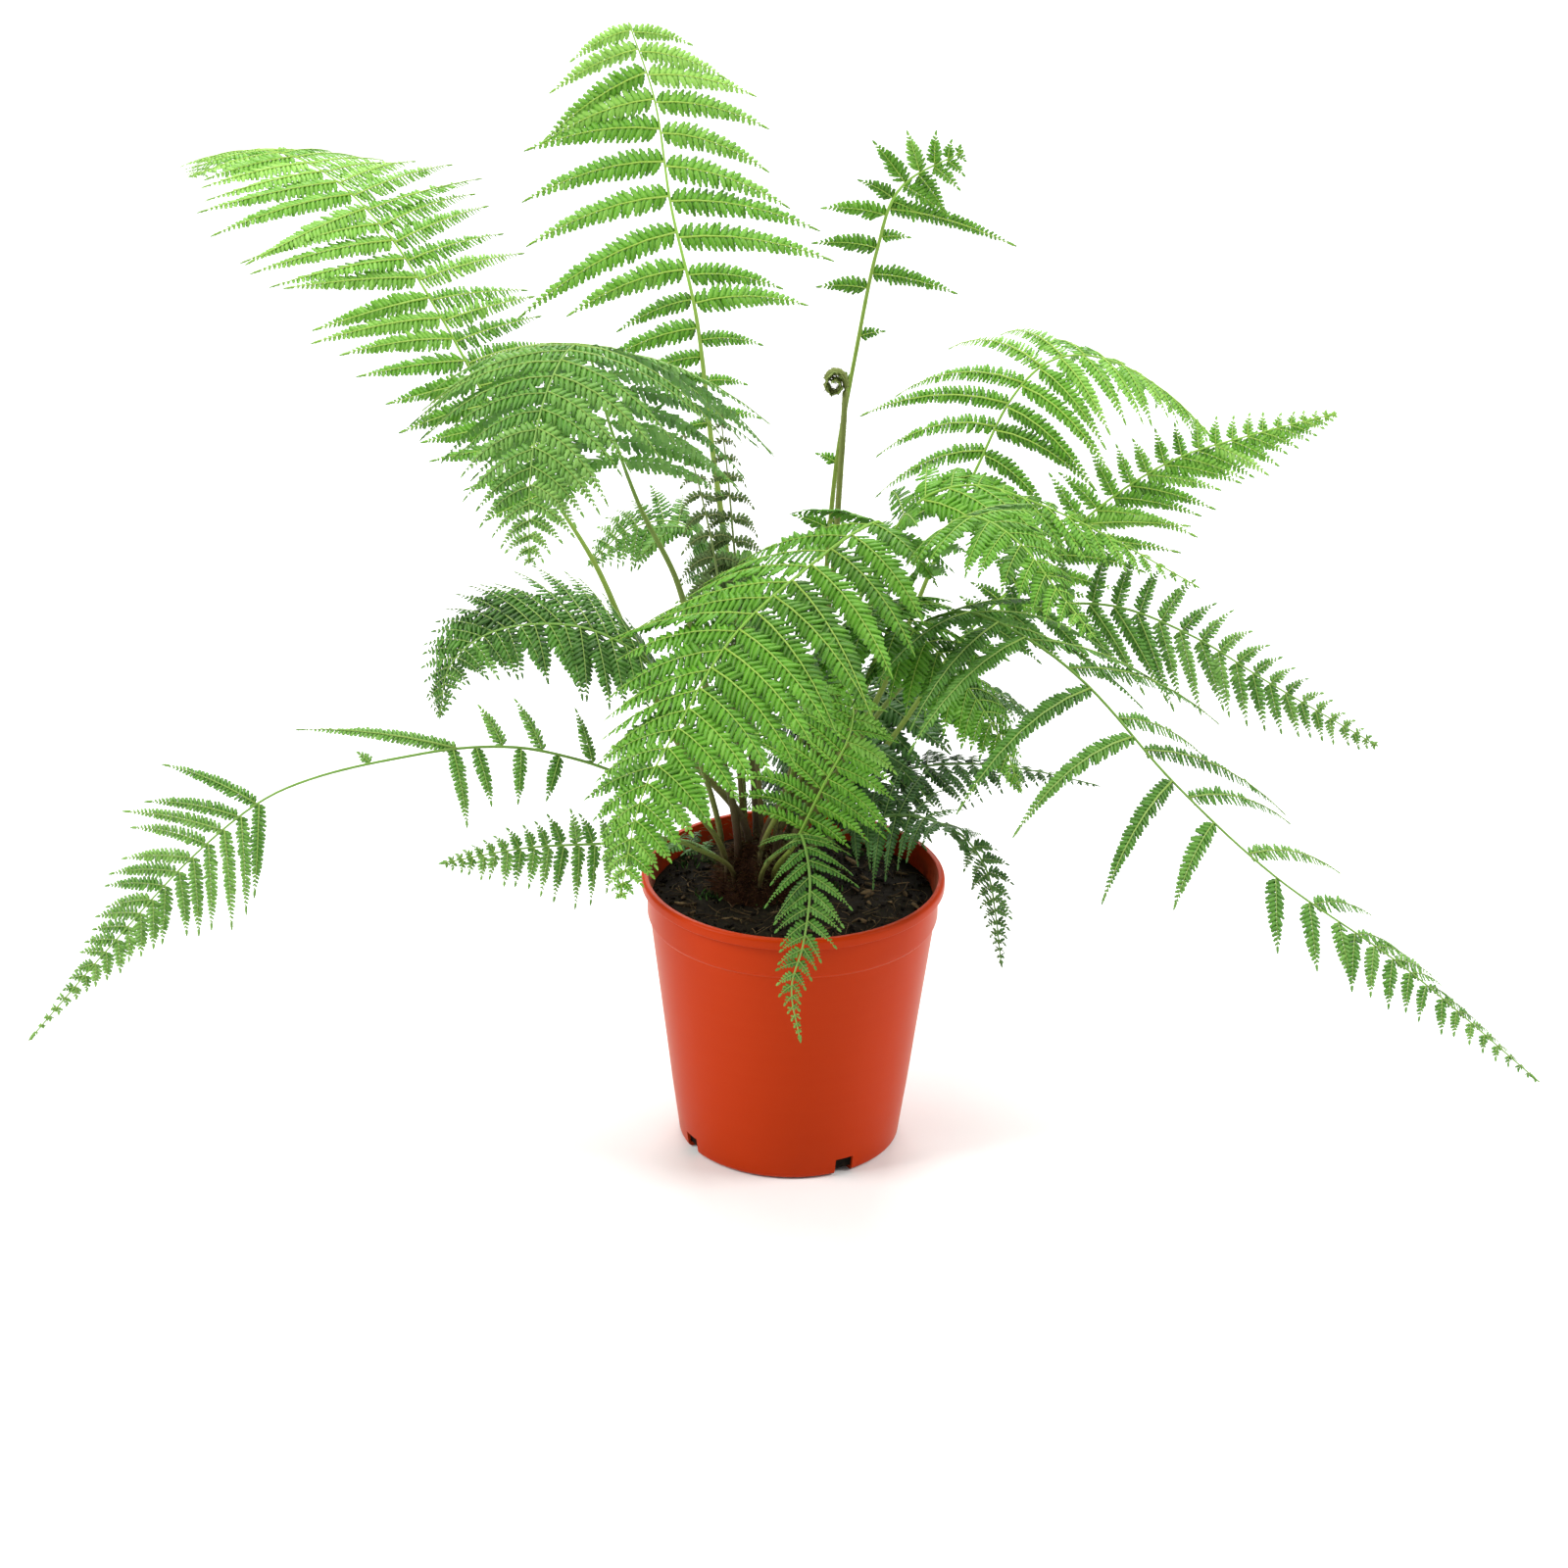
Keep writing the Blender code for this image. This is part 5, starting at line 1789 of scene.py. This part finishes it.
    def grow(self, clearance: Clearance) -> bpy.types.Object:
        """Grow everything.

        Args:
            clearance: what is in place already.

        Returns:
            The piece.
        """
        self.grow_stalk()
        for pinna in self.places():
            for bend in self.BENDS:
                rail = self.pinna_rail(pinna, bend)
                half = min((rail.length * 0.115 + 1.9 * MM) * self.frond.broad, self.frond.narrow * MM)
                shell = clearance.shell(rail, half * blade_width(rail.shares, self.frond.full), 0.5 * MM)
                if clearance.is_clear(self.frond.name, *shell):
                    clearance.add(self.frond.name, *shell)
                    self.grow_pinna(rail, half, pinna.share)
                    break
        self.end_leaflet(self.rail, 0.99, 4, (5 * MM, 2.2 * MM, 3 * MM), self.tone(1.0))
        return self.thicket.make(f"{self.frond.name}_frond", FINISHES[self.frond.green].make())

    def tone(self, share: float) -> float:
        """How light the leaflets are at a share of the route."""
        first, last = self.frond.tones
        along = max(0.0, (share - self.frond.blade) / (1 - self.frond.blade))
        return first + (last - first) * along

    def grow_stalk(self) -> None:
        """The stalk, brown and hairy at its foot."""
        foot = self.rail.points[0] - UP * self.SOCKET
        points = np.concatenate((foot[None], self.rail.points))
        rail = Rail.through(points, np.concatenate((self.rail.across[:1], self.rail.across)))
        radii = np.concatenate((self.radii(np.zeros(1)), self.radii(self.rail.shares)))
        stem = self.patterns.rachis
        shares = stem.corners[:, 0]
        below = np.clip(1 - shares / self.frond.blade, 0, 1)
        brown = np.clip(0.6 * below**0.3 + 1.2 * np.maximum(below - 0.6, 0), 0, 0.97)
        above = 0.2 + 0.5 * np.clip(shares * 1.2, 0, 1)
        rib = np.full((1, len(shares)), 0.85)
        self.thicket.add(stem, rail.bend(stem, radii, 0.05), above[None], brown[None], rib)
        hairs = self.drawn.random(self.HAIRS) ** 1.6 * min(0.3, self.HAIRY / rail.length)
        self.FUR.grow(self.thicket, self.patterns.hair, rail, radii, hairs, self.drawn)

    def grow_pinna(self, rail: Rail, half: float, share: float) -> None:
        """One pinna: its rib and two rows of leaflets that shorten toward its tip.

        Args:
            rail: its line.
            half: its half width.
            share: where on the route it starts.
        """
        self.pinnae += 1
        length = rail.length
        tone = self.tone(share) + self.drawn.normal() * self.TONE_SPREAD
        costa = self.patterns.costa
        whole = (1, len(costa.corners))
        radii = max(0.32, min(0.65, length / MM * 0.008)) * MM * (1 - 0.7 * rail.shares)
        line = rail.raised(0.3 * MM)
        self.thicket.add(costa, line.bend(costa, radii), np.full(whole, tone), 0.0, np.full(whole, 1.0))
        count = max(2, round(length / (1.1 * MM + 0.25 * half)))
        shares = (np.arange(count) + 0.55) / (count + 0.35)
        for side, late in ((1.0, 0.0), (-1.0, 0.28)):
            here = np.clip(shares + late / (count + 0.35), 0, 0.99)
            self.grow_leaflets(rail, here, side, half, length / (count + 0.35), tone)
        self.end_leaflet(rail, 0.94, 3, (length * 0.06 + 1.6 * MM, 1.7 * MM, 2 * MM), tone + 0.1)

    def grow_leaflets(
        self, rail: Rail, shares: Numbers, side: float, half: float, pitch: float, tone: float
    ) -> None:
        """One row of leaflets.

        Args:
            rail: the pinna's line.
            shares: where on it the leaflets start.
            side: 1 or -1.
            half: the pinna's half width.
            pitch: how far apart they are.
            tone: how light they are.
        """
        count = len(shares)
        point, heading, across, up = rail.at(shares)
        angle = 68 - 20 * shares + self.drawn.normal(size=count) * 2.5
        along = tilted(heading, across * side, angle)
        along = tilted(along, -up, 10 + self.drawn.normal(size=count) * 6)
        face = unit(up - along * np.sum(up * along, axis=1, keepdims=True))
        width = np.cross(face, along)
        face = tilted(face, width, 3 + self.drawn.normal(size=count) * 8)
        width = np.cross(face, along)
        reach = half * blade_width(shares, self.frond.full) / np.sin(np.radians(angle))
        reach = np.maximum(reach * self.drawn.uniform(0.94, 1.05, count), 1.0 * MM)
        broad = np.minimum(pitch * 1.24, reach * 0.8)
        sizes = np.stack((reach, broad, reach * 0.9), axis=1)
        tones = tone + 0.14 * shares + self.drawn.normal(size=count) * 0.06
        for teeth, low, high in self.LEAFLETS:
            pick = (reach >= low) & (reach < high)
            if pick.any():
                parts = (part[pick] for part in (point, along, width, sizes, tones))
                self.thicket.scatter(self.patterns.leaflets[teeth], *parts, up=face[pick])

    def end_leaflet(self, rail: Rail, share: float, teeth: int, size: Triple, tone: float) -> None:
        """One leaflet straight on, at the end of a pinna or of the frond.

        Args:
            rail: the line that it ends.
            share: where on the line it starts.
            teeth: how many teeth each side has.
            size: its length, width and height.
            tone: how light it is.
        """
        point, heading, across, up = rail.at(np.array([share]))
        leaf = self.patterns.leaflets[teeth]
        self.thicket.scatter(leaf, point, heading, across, np.array([size]), np.array([tone]), up=up)


@dataclass
class Crozier:
    """The young frond that is still rolled up, brown and hairy, with its leaflets folded along the coil."""

    crown: Crown
    foot: Pair = (30, 11)
    route: tuple[Triple, ...] = ((5, 30, 240), (18, 40, 315), (22, 46, 385), (24, 50, 434))
    stalk: float = 1.7 * MM
    coil: float = 7.5 * MM
    eye: float = 2.6 * MM
    turns: float = 1.4
    end: float = 1.1 * MM
    flat: float = 0.8
    swell: float = 0.5 * MM
    socket: float = 7 * MM
    hairs: int = 700
    buds: int = 40

    SEED = 41
    FUR = Fur(lengths=(0.9, 2.2), thick=0.09 * MM, leans=(0.1, 0.9), seat=0.85, tone=1.0, brown=0.7)

    def line(self) -> tuple[Numbers, Numbers]:
        """The points of the stalk and its coil, and the radius at each.

        Returns:
            The points and the radii.
        """
        stem = smooth_line(self.crown.foot(*self.foot), self.route)
        foot = (stem[0] - UP * self.socket)[None]
        shares = np.linspace(0, 1, 49)[1:]
        angle = shares * self.turns * 2 * math.pi
        reach = self.coil + (self.eye - self.coil) * shares
        middle = stem[-1] - np.array((self.coil * self.flat, 0, 0))
        aside, above = np.cos(angle) * reach * self.flat, np.sin(angle) * reach * 1.1
        coil = middle + np.stack((aside, 0.9 * MM * np.sin(angle * 0.5), above), axis=1)
        points = np.concatenate((foot, stem, coil))
        swell = self.stalk + (self.end - self.stalk) * shares + self.swell * np.sin(np.pi * shares**0.6)
        return points, np.concatenate((np.full(len(stem) + 1, self.stalk), swell))

    def build(self, patterns: Patterns) -> bpy.types.Object:
        """Build the crozier.

        Args:
            patterns: the repeated shapes.

        Returns:
            The piece.
        """
        drawn = np.random.default_rng(self.SEED)
        points, radii = self.line()
        rail = Rail.through(points, np.array((0.0, 1.0, 0.0)))
        thicket = Thicket()
        stem = patterns.stem(10, 150)
        height = stem.corners[:, 0]
        brown = 0.55 - 0.3 * height
        tone = 0.6 + 0.1 * height
        thicket.add(stem, rail.bend(stem, radii, 0.04), tone[None], brown[None], np.zeros((1, len(height))))
        half = self.hairs // 2
        shares = np.concatenate((drawn.random(half) * 0.9, drawn.uniform(0.86, 1.0, half)))
        self.FUR.grow(thicket, patterns.hair, rail, radii, shares, drawn)
        self._fold_buds(patterns.leaflets[3], rail, radii, thicket, drawn)
        return thicket.make("crozier_rolled", FINISHES[Green.YOUNG].make())

    def _fold_buds(
        self, leaf: Pattern, rail: Rail, radii: Numbers, thicket: Thicket, drawn: np.random.Generator
    ) -> None:
        """Folded leaflets in two rows along the coil.

        Args:
            leaf: one leaflet.
            rail: the line of the stalk and its coil.
            radii: the radius at each of its points.
            thicket: where they go.
            drawn: the random draws.
        """
        shares = np.repeat(np.linspace(0.875, 0.995, self.buds), 2)
        side = np.tile((1.0, -1.0), self.buds)[:, None]
        point, heading, across, up = rail.at(shares)
        along = unit(across * side + heading * 0.6 + drawn.normal(size=point.shape) * 0.15)
        width = unit(np.cross(up, along))
        length = drawn.uniform(2.8, 4.4, len(shares)) * MM
        sizes = np.stack((length, length * 0.6, length), axis=1)
        roots = point + across * side * np.interp(shares, rail.shares, radii)[:, None] * 0.7
        tone = drawn.uniform(0.5, 0.9, len(shares))
        thicket.scatter(leaf, roots, along, width, sizes, tone, np.full(len(shares), 0.15))


# The studio


@dataclass
class Studio:
    """The floor, the light and the camera."""

    eye: Triple = (-0.006, -2.66, 1.46)
    pitch: float = 25.07
    roll: float = 1.0
    lens: float = 121.5
    film: float = 36
    floor: float = 12.0
    drop: float = 0.5 * MM
    glow: float = 0.36

    LIGHTS = (
        ("left", (-2.1, -0.7, 1.8), 1.2, 60),
        ("right", (2.2, -0.3, 1.7), 1.2, 50),
        ("top", (0.0, 0.6, 2.9), 1.4, 50),
        ("rear", (0.0, 3.0, 2.0), 2.0, 50),
    )

    def build(self) -> None:
        """Set the studio up."""
        bench = Bench("plane", size=self.floor, location=(0, 0, -self.drop))
        bench.item.name = "studio_floor"
        bench.item.data.materials.append(StudioFinish().make())
        for name, place, size, power in self.LIGHTS:
            self._light(name, place, size, power)
        world = bpy.data.worlds.new("studio")
        world.use_nodes = True
        background = world.node_tree.nodes["Background"]
        background.inputs["Color"].default_value = (1.0, 1.0, 1.0, 1.0)
        background.inputs["Strength"].default_value = self.glow
        bpy.context.scene.world = world
        bpy.context.scene.view_settings.view_transform = "Standard"
        self._camera()

    @staticmethod
    def _light(name: str, place: Triple, size: float, power: float) -> None:
        """Add a square soft light that looks at the plant.

        Args:
            name: its name.
            place: where it hangs.
            size: its side in metres.
            power: its power in watts.
        """
        lamp = bpy.data.lights.new(name, "AREA")
        lamp.size = size
        lamp.energy = power
        item = bpy.data.objects.new(name, lamp)
        toward = Vector((0, 0, 0.3)) - Vector(place)
        item.matrix_world = Matrix.Translation(place) @ toward.to_track_quat("-Z", "Y").to_matrix().to_4x4()
        bpy.context.scene.collection.objects.link(item)

    def _camera(self) -> None:
        """Put the camera where the photograph was taken from."""
        data = bpy.data.cameras.new("camera")
        data.lens = self.lens
        data.sensor_width = self.film
        item = bpy.data.objects.new("camera", data)
        tilt = Matrix.Rotation(math.radians(90 - self.pitch), 4, "X")
        roll = Matrix.Rotation(math.radians(self.roll), 4, "Z")
        item.matrix_world = Matrix.Translation(self.eye) @ (tilt @ roll)
        bpy.context.scene.collection.objects.link(item)
        bpy.context.scene.camera = item


def hand_over(piece: bpy.types.Object, slot: str, *nodes: str) -> None:
    """Make a piece ride on the body, and hide the nodes that it replaces.

    Args:
        piece: the piece.
        slot: the record's material slot; not used.
        nodes: the nodes that it stands for.
    """
    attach(piece, BODY)
    if nodes:
        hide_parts(*nodes)
    triangles = sum(len(face.vertices) - 2 for face in piece.data.polygons)
    log.info("%s: %d triangles", piece.name, triangles)


def main() -> None:
    """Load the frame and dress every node."""
    logging.basicConfig(level=logging.INFO, format="%(name)s: %(message)s")
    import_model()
    Studio().build()
    patterns = Patterns.model()
    pot, crown = Pot(), Crown()
    hand_over(pot.build(), "terracotta_plastic", "pot")
    for piece in Peat(pot, crown).build(patterns):
        hand_over(piece, "peat", *(["peat"] if piece.name == "peat_body" else []))
    for piece in crown.build(patterns):
        hand_over(piece, "hairy_root", *(["crown"] if piece.name == "crown_stock" else []))
    hand_over(Crozier(crown).build(patterns), "young_frond", "crozier")
    clearance = Clearance()
    makers = [FrondMaker(frond, crown, patterns) for frond in FRONDS]
    for maker in makers:
        maker.stand(clearance)
    for maker in makers:
        hand_over(maker.grow(clearance), maker.frond.green.value, f"frond_{maker.frond.name}")
        log.info("%s: %d pinnae", maker.frond.name, maker.pinnae)


if __name__ == "__main__":
    main()
